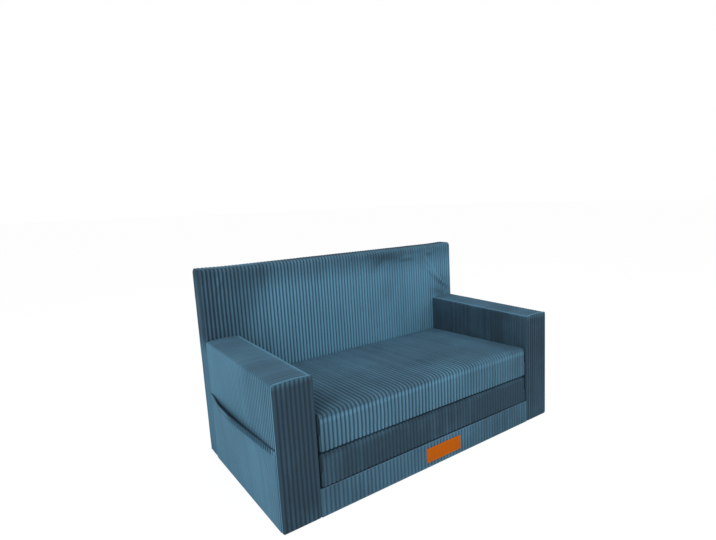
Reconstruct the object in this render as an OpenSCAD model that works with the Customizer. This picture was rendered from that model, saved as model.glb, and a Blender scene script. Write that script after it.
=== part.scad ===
// Fold-out foam sofa for children: a foam shell with two folding pads between its arms.
// Millimetres, +Z up, the front towards -Y, origin under the middle of the shell.

/* [Shell] */
// Width over the outer faces of the arms
shell_w = 900; // [800:10:1100]
// Depth of the seat, from the front faces to the back rest
seat_d = 455; // [380:5:560]
// Width of one arm
arm_w = 93; // [75:1:130]
// Height of the arms
arm_h = 345; // [310:5:400]
// Thickness of the back rest
back_t = 66; // [50:1:100]
// Height of the back rest
back_h = 542; // [450:2:650]
// Height of the base under the pads
base_h = 70; // [55:1:85]
// Edge rounding of the arms
arm_r = 9; // [6:1:14]
// Edge rounding of the back rest
back_r = 11; // [6:1:16]
// Rise of the arm tops between their edges
arm_crown = 3; // [1:0.5:6]
// Edge rounding of the base front
base_r = 1.5; // [1:0.5:3.5]

/* [Folding pads] */
// Free space between a pad and each arm
pad_side_gap = 6; // [5:0.5:16]
// Free space behind the pads
pad_rear_gap = 8; // [5:0.5:14]
// Height of the lower pad
lower_h = 80; // [70:0.5:95]
// Height of the upper pad at its rear edge
upper_h = 76; // [66:0.5:95]
// Rise of the upper pad's underside towards the front
upper_lift = 3; // [2:0.5:12]
// Fall of the seat surface from front to rear
seat_fall = 16; // [12:0.5:24]
// Crown of the seat surface
seat_crown = 5; // [2:0.5:12]
// Crown of the lower pad's top
lower_crown = 2.5; // [1:0.5:4]
// Rounding of the pads' upper edges
pad_top_r = 9; // [7:1:18]
// Rounding of the pads' lower edges
pad_low_r = 3; // [2:0.5:9]
// Rounding of the pads' ends
pad_end_r = 12; // [10:1:24]
// How far the pads' faces are drawn in between their corners
pad_draw = 2; // [0.5:0.5:2.5]
// Swell of the pads' front at mid height
pad_swell = 1.5; // [0.5:0.5:2.5]

/* [Covers and foam] */
// Thickness of the ribbed cover cloth with its backing
cover_t = 4; // [3.5:0.5:5]
// Thickness of the pads' end panels with their wadding
gusset_t = 6; // [5:0.5:8]
// Thinnest place of a pad's cover over its foam edges
cover_min = 1.5; // [1:0.25:3]
// Thickness of the non-slip cloth underneath
sole_t = 1.2; // [0.8:0.1:2]
// Thickness of the plain lining cloth
lining_t = 1.5; // [1:0.1:2.5]
// Clearance between a foam core and its cover
fit = 0.3; // [0.2:0.05:0.6]
// Thickness of the cloth hinges
strip_t = 1.2; // [0.8:0.1:2]
// Depth of the front hinge strip
front_strip_d = 24; // [16:1:30]
// Height of the rear hinge band
rear_band_h = 60; // [50:1:70]

/* [Side pockets] */
// Height of the pocket mouth above the floor
pocket_top = 197; // [150:1:240]
// Height of the pocket's lower seam above the floor
pocket_low = 6; // [4:1:20]
// Distance of the pocket from the arm's ends
pocket_in = 7; // [4:1:20]
// How far the pocket mouth stands open
pocket_gape = 10; // [9:0.5:18]
// Thickness of the pocket cloth
pocket_t = 2; // [1.5:0.1:3]
// Height of the folded hem at the mouth
hem_h = 14; // [8:1:24]
// Extra thickness of the folded hem
hem_extra = 1; // [0.6:0.1:2]

/* [Label] */
// Width of the leather label
label_w = 120; // [80:5:160]
// Height of the leather label
label_h = 40; // [25:1:48]
// Thickness of the leather label
label_t = 2; // [1:0.1:2.5]
// Corner rounding of the label
label_r = 2.5; // [1:0.5:5]
// Distance of the label's centre from the middle, to the right
label_x = 10; // [0:1:40]

/* [Zips] */
// Distance of the back zip from the ends of the back rest
back_zip_in = 100; // [70:5:200]
// Height of the back zip's centre line
back_zip_z = 60; // [40:2:120]
// Distance of the pads' zips from their front and rear faces
pad_zip_in = 63; // [60:1:100]
// Width of the opening in a cover at its zip
zip_slot = 14; // [12.5:0.5:16]
// Width of the zip tape
tape_w = 24; // [21:1:28]
// Thickness of the zip tape
tape_t = 0.8; // [0.5:0.1:1]
// Width of the closed coil
coil_w = 5; // [4:0.5:6]
// Height of the coil above its tape
coil_h = 1.6; // [1.2:0.1:2]
// Length of the zip slider
slider_l = 14; // [10:1:18]
// Width of the zip slider
slider_w = 10; // [9:0.5:11]
// Wall of the zip slider over the coil
slider_wall = 1.4; // [1:0.1:1.8]
// Running clearance of the slider round the coil
slider_fit = 0.3; // [0.2:0.05:0.4]

/* [Hidden] */

$fn = 48;

// Overrun of every cut past the piece that it cuts
over = 5;
// Gap between cloth faces that lie on each other but move apart
lay_gap = 0.3;
// Gap between the two pads at the rear
pad_lay = 1;
// Distance of the pads' front from the plane of the arms' front faces
front_gap = 0.5;

// Planes of the shell
front_y = -(seat_d + back_t) / 2;
back_y = front_y + seat_d;
rear_y = back_y + back_t;
inner_w = shell_w - 2 * arm_w;
back_zip_l = shell_w - 2 * back_zip_in;

// Places of the pads
pad_w = inner_w - 2 * pad_side_gap;
pad_front_y = front_y + front_gap;
pad_rear_y = back_y - pad_rear_gap;
pad_d = pad_rear_y - pad_front_y;
pad_zip_l = pad_d - 2 * pad_zip_in;
lower_z = base_h + strip_t + lay_gap;
upper_z = lower_z + lower_h + pad_lay;

// Inset of a pad's section where its cover meets the end panels
seam_inset = pad_end_r - sqrt(pow(pad_end_r, 2) - pow(pad_end_r - gusset_t, 2));
// Depth of a pad's foam below the surface of its cover
foam_in = seam_inset + pad_top_r * (1 - sqrt(0.5)) + cover_min;

// Fold axes along X: [y, z]
fold_out = (label_t + pad_swell + lay_gap) / 2;
front_fold = [front_y - fold_out, (lower_z + lower_h + lower_crown + lay_gap) / 2];
rear_fold = [pad_rear_y + lay_gap + strip_t, lower_z + lower_h + pad_lay / 2];
echo(front_fold = front_fold, rear_fold = rear_fold);

// Steps of the pads' meshes, and the power of their crowns
corner_steps = 4;
top_steps = 8;
side_steps = 3;
end_steps = 4;
width_steps = 8;
crown_power = 2.5;
// Steps of the pockets' meshes, and the shapes of their swell along and up the pocket
pocket_steps = 18;
pocket_rows = 7;
pocket_lean = 0.85;
pocket_rise = 1.5;
pocket_round = 0.7;
// Width of the pocket's laps that are sewn flat to the arm
pocket_lap = 8;

// Colours
cord_blue = [0.25, 0.41, 0.50];
cord_light = [0.31, 0.48, 0.58];
cord_dark = [0.20, 0.34, 0.42];
foam_colour = [0.93, 0.90, 0.80];
lining_colour = [0.13, 0.19, 0.24];
leather_colour = [0.80, 0.38, 0.06];
zip_colour = [0.16, 0.22, 0.28];
slider_colour = [0.55, 0.56, 0.58];

// Plain shapes

// Upright section w wide and h high with both upper corners rounded to r
module round_top(w, h, r) {
    square([w, h - r]);
    translate([r, 0])
        square([w - 2 * r, h]);
    for (x = [r, w - r])
        translate([x, h - r])
            circle(r = r);
}

// Draws a section of the YZ plane out along X from x0 to x1
module along_x(x0, x1) {
    translate([x0, 0, 0])
        rotate([90, 0, 90])
            linear_extrude(height = x1 - x0)
                children();
}

// Draws a section of the XZ plane out along Y from y0 to y1
module along_y(y0, y1) {
    translate([0, y1, 0])
        rotate([90, 0, 0])
            linear_extrude(height = y1 - y0)
                children();
}

// A box from one corner to the other
module box(low, high) {
    translate(low)
        cube(high - low);
}

// Places a left hand piece as it is, or its mirror image on the right
module on_side(side) {
    if (side == "left")
        children();
    else
        mirror([1, 0, 0])
            children();
}

// Shell

// Section of the left arm, its outer edge at x = -shell_w / 2, drawn in by d
module arm_section(d) {
    crown_r = (pow(arm_w / 2, 2) + pow(arm_crown, 2)) / (2 * arm_crown);
    translate([-shell_w / 2, 0])
        difference() {
            translate([d, 0])
                round_top(arm_w - 2 * d, arm_h - d, arm_r - d);
            difference() {
                translate([-over, arm_h - arm_crown - d])
                    square([arm_w + 2 * over, arm_crown + d + over]);
                translate([arm_w / 2, arm_h - crown_r])
                    circle(r = crown_r - d, $fn = 480);
            }
        }
}

// Section of the back rest in the YZ plane, drawn in by d
module back_section(d) {
    translate([back_y + d, 0])
        round_top(back_t - 2 * d, back_h - d, back_r - d);
}

// The space above the sole cloth
module above_sole() {
    intersection() {
        children();
        box([-shell_w, -shell_w, sole_t], [shell_w, shell_w, shell_w]);
    }
}

module sole_cloth() {
    color(lining_colour)
        box([-shell_w / 2, front_y, 0], [shell_w / 2, rear_y, sole_t]);
}

module arm_foam(side) {
    color(foam_colour)
        on_side(side)
            above_sole()
                along_y(front_y + cover_t + fit, back_y - lining_t - fit)
                    arm_section(cover_t + fit);
}

module arm_wrap(side) {
    color(cord_blue)
        on_side(side)
            above_sole()
                along_y(front_y + cover_t, back_y - lining_t)
                    difference() {
                        arm_section(0);
                        arm_section(cover_t);
                    }
}

module arm_front_panel(side) {
    color(cord_dark)
        on_side(side)
            above_sole()
                along_y(front_y, front_y + cover_t)
                    arm_section(0);
}

module arm_rear_lining(side) {
    color(lining_colour)
        on_side(side)
            above_sole()
                along_y(back_y - lining_t, back_y)
                    arm_section(0);
}

module base_foam() {
    color(foam_colour)
        box([-inner_w / 2, front_y + cover_t + fit, sole_t],
            [inner_w / 2, back_y, base_h - lining_t]);
}

module base_deck() {
    color(lining_colour)
        box([-inner_w / 2, front_y + cover_t, base_h - lining_t],
            [inner_w / 2, back_y, base_h]);
}

module base_front_panel() {
    color(cord_light)
        above_sole()
            along_x(-inner_w / 2, inner_w / 2)
                translate([front_y, 0]) {
                    square([cover_t, base_h - base_r]);
                    translate([base_r, 0])
                        square([cover_t - base_r, base_h]);
                    translate([base_r, base_h - base_r])
                        intersection() {
                            circle(r = base_r);
                            translate([-base_r, 0])
                                square(base_r);
                        }
                }
}

module label_patch() {
    label_z = (base_h + sole_t) / 2 - label_h / 2;
    color(leather_colour)
        along_y(front_y - label_t, front_y)
            translate([label_x - label_w / 2, label_z]) {
                translate([0, label_r])
                    square([label_w, label_h - 2 * label_r]);
                translate([label_r, 0])
                    square([label_w - 2 * label_r, label_h]);
                for (x = [label_r, label_w - label_r], z = [label_r, label_h - label_r])
                    translate([x, z])
                        circle(r = label_r);
            }
}

module back_foam() {
    color(foam_colour)
        above_sole()
            along_x(-shell_w / 2 + cover_t + fit, shell_w / 2 - cover_t - fit)
                back_section(cover_t + fit);
}

module back_wrap() {
    color(cord_blue)
        above_sole()
            difference() {
                along_x(-shell_w / 2 + cover_t, shell_w / 2 - cover_t)
                    difference() {
                        back_section(0);
                        back_section(cover_t);
                    }
                translate([0, rear_y, back_zip_z])
                    zip_cut(back_zip_l, cover_t);
            }
}

module back_end_panel(side) {
    color(cord_dark)
        on_side(side)
            above_sole()
                along_x(-shell_w / 2, -shell_w / 2 + cover_t)
                    back_section(0);
}

module back_zip_tape() {
    translate([0, rear_y, back_zip_z])
        zip_tape(back_zip_l, cover_t);
}

module back_zip_coil() {
    translate([0, rear_y, back_zip_z])
        zip_coil(back_zip_l, cover_t);
}

module back_zip_slider() {
    translate([0, rear_y, back_zip_z])
        zip_slider(back_zip_l, cover_t);
}

// Zips: drawn along X in a cover whose outer face is the plane y = 0 and faces +Y

// The opening in a cover t thick, with the rebate for the tape on its inner side
module zip_cut(l, t) {
    end = l / 2 + slider_w;
    edge = tape_w / 2 + fit;
    box([-l / 2, -t - over, -zip_slot / 2], [l / 2, over, zip_slot / 2]);
    box([-end, -t - over, -edge], [end, -t + tape_t + fit, edge]);
}

module zip_tape(l, t) {
    end = l / 2 + slider_w - fit;
    color(zip_colour)
        box([-end, -t + fit, -tape_w / 2], [end, -t + tape_t + fit, tape_w / 2]);
}

module zip_coil(l, t) {
    color(zip_colour)
        along_x(-l / 2 + fit, l / 2 - fit)
            translate([-t + tape_t + fit, 0])
                rotate(-90)
                    translate([-coil_w / 2, 0])
                        round_top(coil_w, coil_h, coil_h / 2);
}

// The slider stands closed at the left end and has no pull tab
module zip_slider(l, t) {
    coil_y = -t + tape_t + fit;
    top_y = coil_y + coil_h + slider_fit + slider_wall;
    color(slider_colour)
        translate([-l / 2 + fit, 0, 0]) {
            difference() {
                box([0, coil_y + slider_fit, -slider_w / 2], [slider_l, top_y, slider_w / 2]);
                box([-over, coil_y - over, -coil_w / 2 - slider_fit],
                    [slider_l + over, coil_y + coil_h + slider_fit, coil_w / 2 + slider_fit]);
            }
            translate([slider_l / 2, top_y, 0])
                along_y(0, slider_wall / 2)
                    square([slider_l / 2, slider_w / 3], center = true);
        }
}

// Pads

// A pad is [z of its underside at the rear, height at the rear, rise of the underside,
// rise of the top, crown of the underside, crown of the top]
lower_pad = [lower_z, lower_h, 0, 0, 0, lower_crown];
upper_pad = [upper_z, upper_h, upper_lift, seat_fall, lower_crown, seat_crown];

// Share of a crown at a share s of the way across, from 0 to 1
function crown(s) = 1 - pow(abs(2 * s - 1), crown_power);

// Corner points of a section d deep and h high, from angle a round [y, z]
function corner(y, z, r, a) = [for (i = [0:corner_steps]) let (b = a + 90 * i / corner_steps)
    [y + r * cos(b), z + r * sin(b)]];

// Points between two others, without the ends
function between(p, q, n) = [for (i = [1:n - 1]) p + (q - p) * i / n];

// The plain section of a pad h high: front at y = 0, rear at y = pad_d
function section(h) = let (
        rear_low = corner(pad_d - pad_low_r, pad_low_r, pad_low_r, -90),
        rear_top = corner(pad_d - pad_top_r, h - pad_top_r, pad_top_r, 0),
        front_top = corner(pad_top_r, h - pad_top_r, pad_top_r, 90),
        front_low = corner(pad_low_r, pad_low_r, pad_low_r, 180))
    concat(
        rear_low, between([pad_d, pad_low_r], [pad_d, h - pad_top_r], side_steps),
        rear_top, between([pad_d - pad_top_r, h], [pad_top_r, h], top_steps),
        front_top, between([0, h - pad_top_r], [0, pad_low_r], side_steps),
        front_low, between([pad_low_r, 0], [pad_d - pad_low_r, 0], top_steps));

// Inset of the section at distance x from the middle of the pad
function end_inset(x) = let (s = max(0, abs(x) - round_half))
    pad_end_r - sqrt(max(0, pow(pad_end_r, 2) - pow(s, 2)));

// A section point carried to its place on the pad at x
function pad_point(pad, x, p) = let (
        e = end_inset(x),
        e_low = e * pad_low_r / pad_end_r,
        sy = (e + p[0] * (pad_d - 2 * e) / pad_d) / pad_d,
        sz = (e_low + p[1] * (pad[1] - e - e_low) / pad[1]) / pad[1],
        cx = crown(x / pad_w + 0.5),
        low = pad[0] + pad[2] * (1 - sy) + pad[4] * cx * crown(sy),
        high = pad[0] + pad[1] + pad[3] * (1 - sy) + pad[5] * cx * crown(sy),
        front = (pad_draw - pad_swell * sin(180 * sz)) * cx * (1 - sy),
        end = pad_draw * crown(sy) * max(0, abs(x) - cover_half) / gusset_t)
    [x - sign(x) * end, pad_front_y + sy * pad_d + front, low + (high - low) * sz];

// Triangles between ring i and the next one, of n points each
function ring_faces(i, n) = [for (j = [0:n - 1], k = [0, 1]) let (
        a = i * n + j, b = i * n + (j + 1) % n)
    k == 0 ? [a, b + n, b] : [a, a + n, b + n]];

// Places of the sections: close together over the rounding of the ends, wider apart between
cover_half = pad_w / 2 - gusset_t;
round_half = pad_w / 2 - pad_end_r;
seam_angle = asin((pad_end_r - gusset_t) / pad_end_r);
round_places = [for (i = [1:end_steps]) round_half + pad_end_r * sin(seam_angle * i / end_steps)];
cover_places = concat(
    [for (i = [end_steps - 1:-1:0]) -round_places[i]],
    [for (i = [0:width_steps]) round_half * (2 * i / width_steps - 1)],
    round_places);
gusset_places = [for (i = [end_steps:-1:0])
    -round_half - pad_end_r * sin(seam_angle + (90 - seam_angle) * i / end_steps)];

// Triangles from point c to a run of ring points from j0 to j1, which start at index i
function fan(i, c, j0, j1) = [for (j = [j0:j1 - 1]) [i + c, i + j, i + j + 1]];

// Triangles that close a ring: strips between its top and underside, fans at front and rear
function cap_faces(i, n) = let (
        low = corner_steps,
        up = low + side_steps,
        run = 2 * corner_steps + top_steps)
    concat(
        fan(i, low - 1, low, up + 1),
        [for (j = [1:run - 2], k = [0, 1]) let (
                a = i + up + j, b = i + (low - j + n) % n, b2 = i + (low - j - 1 + n) % n)
            k == 0 ? [a, a + 1, b2] : [a, b2, b]],
        fan(i, up + run - 1, up + run, up + run + side_steps + 1));

// A closed solid through the pad's sections at the places xs
module pad_solid(pad, xs) {
    ring = section(pad[1]);
    n = len(ring);
    last = len(xs) - 1;
    polyhedron(
        points = [for (x = xs, p = ring) pad_point(pad, x, p)],
        faces = concat(
            [for (i = [0:last - 1]) each ring_faces(i, n)],
            cap_faces(0, n),
            [for (f = cap_faces(last * n, n)) [f[0], f[2], f[1]]]));
}

// Section of a pad's foam in the YZ plane, grown by d
module foam_section(pad, d) {
    i = foam_in - d;
    front = pad_front_y + pad_draw + i;
    rear = pad_rear_y - i;
    low = pad[0] + pad[4] + i;
    high = pad[0] + pad[1] - i;
    polygon([[front, low + pad[2]], [rear, low], [rear, high], [front, high + pad[3]]]);
}

module pad_foam(pad) {
    color(foam_colour)
        along_x(-cover_half + fit, cover_half - fit)
            foam_section(pad, 0);
}

module pad_cover(pad, shade) {
    color(shade)
        difference() {
            pad_solid(pad, cover_places);
            along_x(-cover_half - over, cover_half + over)
                foam_section(pad, fit);
        }
}

module pad_gusset(pad, side) {
    color(cord_dark)
        difference() {
            on_side(side)
                pad_solid(pad, gusset_places);
            if (side == "right")
                in_gusset(pad)
                    zip_cut(pad_zip_l, zip_depth);
        }
}

// Carries a zip to the middle of a pad's right end panel
zip_depth = gusset_t - pad_draw;
module in_gusset(pad) {
    mid_z = pad[0] + (pad[1] + pad[2] + pad[3] / 2) / 2;
    translate([pad_w / 2 - pad_draw, (pad_front_y + pad_rear_y) / 2, mid_z])
        rotate([0, 0, -90])
            children();
}

module pad_zip_tape(pad) {
    in_gusset(pad)
        zip_tape(pad_zip_l, zip_depth);
}

module pad_zip_coil(pad) {
    in_gusset(pad)
        zip_coil(pad_zip_l, zip_depth);
}

module pad_zip_slider(pad) {
    in_gusset(pad)
        zip_slider(pad_zip_l, zip_depth);
}

// Hinges of cloth

// Lies between the base and the lower pad, sewn to both along the front
module front_hinge_strip() {
    color(lining_colour)
        box([-round_half, front_y + base_r, base_h],
            [round_half, front_y + base_r + front_strip_d, base_h + strip_t]);
}

// Spans the rear faces of both pads
module rear_hinge_band() {
    color(lining_colour)
        box([-round_half, pad_rear_y + lay_gap, rear_fold[1] - rear_band_h / 2],
            [round_half, pad_rear_y + lay_gap + strip_t, rear_fold[1] + rear_band_h / 2]);
}

// Side pockets, drawn on the left arm

pocket_rear_y = back_y - pocket_in;
pocket_front_y = front_y + pocket_in;
pocket_neck = pocket_top - hem_h;

// How far the pocket cloth stands off the arm, at the share s of the way from its rear
// to its front seam and the share v of the way up from its lower seam to its neck
function pocket_swell(s, v) = pocket_gape * pow(sin(180 * pow(s, pocket_lean)), pocket_round)
    * pow(v, pocket_rise);

// Share of the way across the free cloth, inside the laps that are sewn to the arm
function free_share(d, l, lap_end) = min(1, max(0, (d - pocket_lap) / (l - pocket_lap - lap_end)));

// A cloth t thick that follows the pocket between the heights zs
module pocket_cloth(zs, t) {
    n = pocket_steps + 1;
    l = pocket_rear_y - pocket_front_y;
    rows = len(zs);
    stand = [for (z = zs, i = [0:pocket_steps]) let (
            s = free_share(l * i / pocket_steps, l, pocket_lap),
            v = free_share(z - pocket_low, pocket_neck - pocket_low, 0))
        pocket_swell(s, v)];
    sheet = function (d) [for (j = [0:rows - 1], i = [0:pocket_steps])
        [-shell_w / 2 - stand[j * n + i] - d, pocket_rear_y - l * i / pocket_steps, zs[j]]];
    count = rows * n;
    rim = concat(
        [for (i = [0:pocket_steps]) i],
        [for (j = [1:rows - 1]) j * n + pocket_steps],
        [for (i = [pocket_steps - 1:-1:0]) (rows - 1) * n + i],
        [for (j = [rows - 2:-1:1]) j * n]);
    edge = len(rim);
    polyhedron(
        points = concat(sheet(0), sheet(t)),
        faces = concat(
            [for (j = [0:rows - 2], i = [0:pocket_steps - 1], k = [0, 1]) let (a = j * n + i)
                k == 0 ? [a, a + 1, a + n + 1] : [a, a + n + 1, a + n]],
            [for (j = [0:rows - 2], i = [0:pocket_steps - 1], k = [0, 1]) let (a = count + j * n + i)
                k == 0 ? [a, a + n + 1, a + 1] : [a, a + n, a + n + 1]],
            [for (k = [0:edge - 1], h = [0, 1]) let (a = rim[k], b = rim[(k + 1) % edge])
                h == 0 ? [a, count + b, b] : [a, count + a, count + b]]));
}

module pocket_panel(side) {
    row = (pocket_neck - pocket_low) / pocket_rows;
    color(cord_blue)
        on_side(side)
            pocket_cloth([for (j = [0:pocket_rows]) pocket_low + row * j], pocket_t);
}

module pocket_hem(side) {
    color(cord_dark)
        on_side(side)
            pocket_cloth([pocket_neck, pocket_top], pocket_t + hem_extra);
}

sole_cloth();
base_foam();
base_deck();
base_front_panel();
label_patch();
arm_foam("left");  // left_arm_foam
arm_foam("right");  // right_arm_foam
arm_wrap("left");  // left_arm_wrap
arm_wrap("right");  // right_arm_wrap
arm_front_panel("left");  // left_arm_front_panel
arm_front_panel("right");  // right_arm_front_panel
arm_rear_lining("left");  // left_arm_rear_lining
arm_rear_lining("right");  // right_arm_rear_lining
pocket_panel("left");  // left_pocket_panel
pocket_panel("right");  // right_pocket_panel
pocket_hem("left");  // left_pocket_hem
pocket_hem("right");  // right_pocket_hem
back_foam();
back_wrap();
back_end_panel("left");  // left_back_end_panel
back_end_panel("right");  // right_back_end_panel
back_zip_tape();
back_zip_coil();
back_zip_slider();
pad_foam(lower_pad);  // lower_pad_foam
pad_cover(lower_pad, cord_dark);  // lower_pad_cover
pad_gusset(lower_pad, "left");  // lower_pad_left_gusset
pad_gusset(lower_pad, "right");  // lower_pad_right_gusset
pad_zip_tape(lower_pad);  // lower_pad_zip_tape
pad_zip_coil(lower_pad);  // lower_pad_zip_coil
pad_zip_slider(lower_pad);  // lower_pad_zip_slider
pad_foam(upper_pad);  // upper_pad_foam
pad_cover(upper_pad, cord_light);  // upper_pad_cover
pad_gusset(upper_pad, "left");  // upper_pad_left_gusset
pad_gusset(upper_pad, "right");  // upper_pad_right_gusset
pad_zip_tape(upper_pad);  // upper_pad_zip_tape
pad_zip_coil(upper_pad);  // upper_pad_zip_coil
pad_zip_slider(upper_pad);  // upper_pad_zip_slider
front_hinge_strip();
rear_hinge_band();
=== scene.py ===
"""Fold-out foam sofa in wide-ribbed corduroy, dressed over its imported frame.

The shell, two folding pads, side pockets, zips and label are built as cloth covers
over foam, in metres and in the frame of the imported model.
"""

from __future__ import annotations

import logging
import math
import sys
from collections.abc import Callable, Sequence
from dataclasses import dataclass
from enum import Enum
from typing import Any

import bmesh
import bpy
import numpy as np
from mathutils import Matrix, Vector


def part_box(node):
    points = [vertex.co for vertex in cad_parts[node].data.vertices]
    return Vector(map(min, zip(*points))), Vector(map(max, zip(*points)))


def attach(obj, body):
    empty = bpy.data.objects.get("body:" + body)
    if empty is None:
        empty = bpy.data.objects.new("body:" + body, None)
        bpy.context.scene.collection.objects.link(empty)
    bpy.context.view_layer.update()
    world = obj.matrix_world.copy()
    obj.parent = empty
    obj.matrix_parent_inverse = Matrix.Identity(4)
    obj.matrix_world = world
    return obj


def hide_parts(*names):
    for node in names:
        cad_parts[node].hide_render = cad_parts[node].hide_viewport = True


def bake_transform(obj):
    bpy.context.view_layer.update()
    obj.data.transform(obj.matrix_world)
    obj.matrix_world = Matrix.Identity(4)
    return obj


Array = np.ndarray
Box = tuple[Array, Array]
Tone = tuple[int, int, int]
Piece = bpy.types.Object
Tree = bpy.types.NodeTree
Socket = bpy.types.NodeSocket
Place = Callable[[Array, Array, Array], Array]
Spread = Callable[[Array, Array], Array] | float
LOG = logging.getLogger("sofa")

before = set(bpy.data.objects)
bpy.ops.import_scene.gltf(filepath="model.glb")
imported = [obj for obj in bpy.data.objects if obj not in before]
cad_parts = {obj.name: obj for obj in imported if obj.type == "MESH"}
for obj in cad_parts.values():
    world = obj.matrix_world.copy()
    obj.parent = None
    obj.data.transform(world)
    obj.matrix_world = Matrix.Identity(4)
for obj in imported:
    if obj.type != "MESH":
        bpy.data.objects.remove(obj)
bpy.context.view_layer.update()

# Lengths in metres, first of ribs, mesh steps and small offsets, then round the zips' openings
RIB_PITCH = 0.0111
RIB_STEP = RIB_PITCH / 8
CLOTH_STEP = 0.012
HAIR = 0.0001
SLIVER = 0.00001
SLOT_LIP = 0.0005
SLOT_HALF = 0.007
SLOT_SPARE = 0.0003
SLOT_NEAR = 0.0011
SLOT_CLEAR = 0.003
SLOT_CALM = 0.005
# The photograph's width and height in pixels
PICTURE = (716, 540)


class Side(Enum):
    """A side of the sofa, as its sign along X."""

    LEFT = -1
    RIGHT = 1

    @property
    def word(self) -> str:
        """The side's name, as in the frame's nodes."""
        return self.name.lower()

    def outer(self, box: Box) -> float:
        """The place along X of a box's face on this side."""
        return box[max(self.value, 0)][0]


class Slot(Enum):
    """The record's material slots."""

    CORDUROY = "corduroy"
    FOAM = "foam"
    LINING = "lining"
    SOLE = "sole"
    LABEL = "label"
    ZIP_TAPE = "zip_tape"
    ZIP_COIL = "zip_coil"


def put(
    tree: Tree, kind: str, ins: dict[Any, Any] | None = None, out: int | str = 0, **settings: Any,
) -> Socket | None:
    """Add a node to a tree.

    Args:
        tree: The tree.
        kind: The node's type.
        ins: Values or sockets for its inputs, by name or number.
        out: The output that is wanted.
        **settings: Values of its properties.

    Returns:
        The output, or None for a node without any.
    """
    node = tree.nodes.new(kind)
    for key, value in settings.items():
        setattr(node, key, value)
    for key, value in (ins or {}).items():
        if isinstance(value, Socket):
            tree.links.new(value, node.inputs[key])
        else:
            node.inputs[key].default_value = value
    return node.outputs[out] if node.outputs else None


def emptied(owner: bpy.types.ID) -> Tree:
    """Turn on the nodes of a material or a world, and clear them.

    Args:
        owner: The material or the world.

    Returns:
        Its node tree.
    """
    owner.use_nodes = True
    owner.node_tree.nodes.clear()
    return owner.node_tree


def calc(tree: Tree, operation: str, *values: Any, clamp: bool = False) -> Socket:
    """Reckon with numbers or sockets, kept from 0 to 1 if clamp is set."""
    return put(tree, "ShaderNodeMath", dict(enumerate(values)), operation=operation, use_clamp=clamp)


def noise(tree: Tree, coord: Socket, scale: float, detail: float = 2.0) -> Socket:
    """Noise from 0 to 1."""
    return put(tree, "ShaderNodeTexNoise", {"Vector": coord, "Scale": scale, "Detail": detail})


def colour(r: int, g: int, b: int) -> tuple[float, float, float, float]:
    """A colour written in screen values, made linear."""
    return (*(((c / 255 + 0.055) / 1.055) ** 2.4 if c > 10 else c / 255 / 12.92 for c in (r, g, b)), 1.0)


def blend(tree: Tree, share: Socket, low: Tone | Socket, high: Tone | Socket) -> Socket:
    """A colour between two, which are screen values or sockets."""
    low, high = (end if isinstance(end, Socket) else colour(*end) for end in (low, high))
    return put(tree, "ShaderNodeMix", {0: share, 6: low, 7: high}, 2, data_type="RGBA")


def mark(tree: Tree, geometry: Socket, name: str, value: Any) -> Socket:
    """Keep a number or a socket's value at a geometry's points."""
    ins = {"Geometry": geometry, "Name": name, "Value": value}
    return put(tree, "GeometryNodeStoreNamedAttribute", ins, data_type="FLOAT")


# Finishes


@dataclass(frozen=True)
class Finish:
    """A finish: a colour with a fine pattern in its tone and its relief."""

    name: str
    tone: Tone
    deep: Tone
    roughness: float = 0.8
    grain: float = 900.0
    relief: float = 0.0003
    sheen: float = 0.0
    metallic: float = 0.0
    gloss: float = 0.3

    def pattern(self, tree: Tree, coord: Socket) -> Socket:
        """The share of the lighter tone and the height of the relief, by default a fine noise."""
        return noise(tree, coord, self.grain, 3.0)

    def tint(self, tree: Tree, pattern: Socket, coord: Socket) -> Socket:
        """Colour the surface.

        Args:
            tree: The material's tree.
            pattern: The output of pattern().
            coord: Object coordinates.

        Returns:
            The base colour.
        """
        fine = calc(tree, "MULTIPLY_ADD", pattern, 0.8, -0.1)
        share = calc(tree, "MULTIPLY_ADD", noise(tree, coord, 14.0), 0.5, fine, clamp=True)
        return blend(tree, share, self.deep, self.tone)

    def build(self) -> bpy.types.Material:
        """Build the material once, and find it again after that.

        Returns:
            The material.
        """
        made = bpy.data.materials.get(self.name)
        if made:
            return made
        made = bpy.data.materials.new(self.name)
        tree = emptied(made)
        coord = put(tree, "ShaderNodeTexCoord", out="Object")
        pattern = self.pattern(tree, coord)
        bump = put(tree, "ShaderNodeBump", {"Height": pattern, "Distance": self.relief, "Strength": 0.8})
        shader = put(tree, "ShaderNodeBsdfPrincipled", {
            "Base Color": self.tint(tree, pattern, coord), "Roughness": self.roughness,
            "Metallic": self.metallic, "Sheen Weight": self.sheen, "Sheen Roughness": 0.45,
            "Sheen Tint": colour(*self.tone), "Specular IOR Level": self.gloss, "Normal": bump,
        })
        put(tree, "ShaderNodeOutputMaterial", {"Surface": shader})
        made.diffuse_color = colour(*self.tone)
        return made


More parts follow.
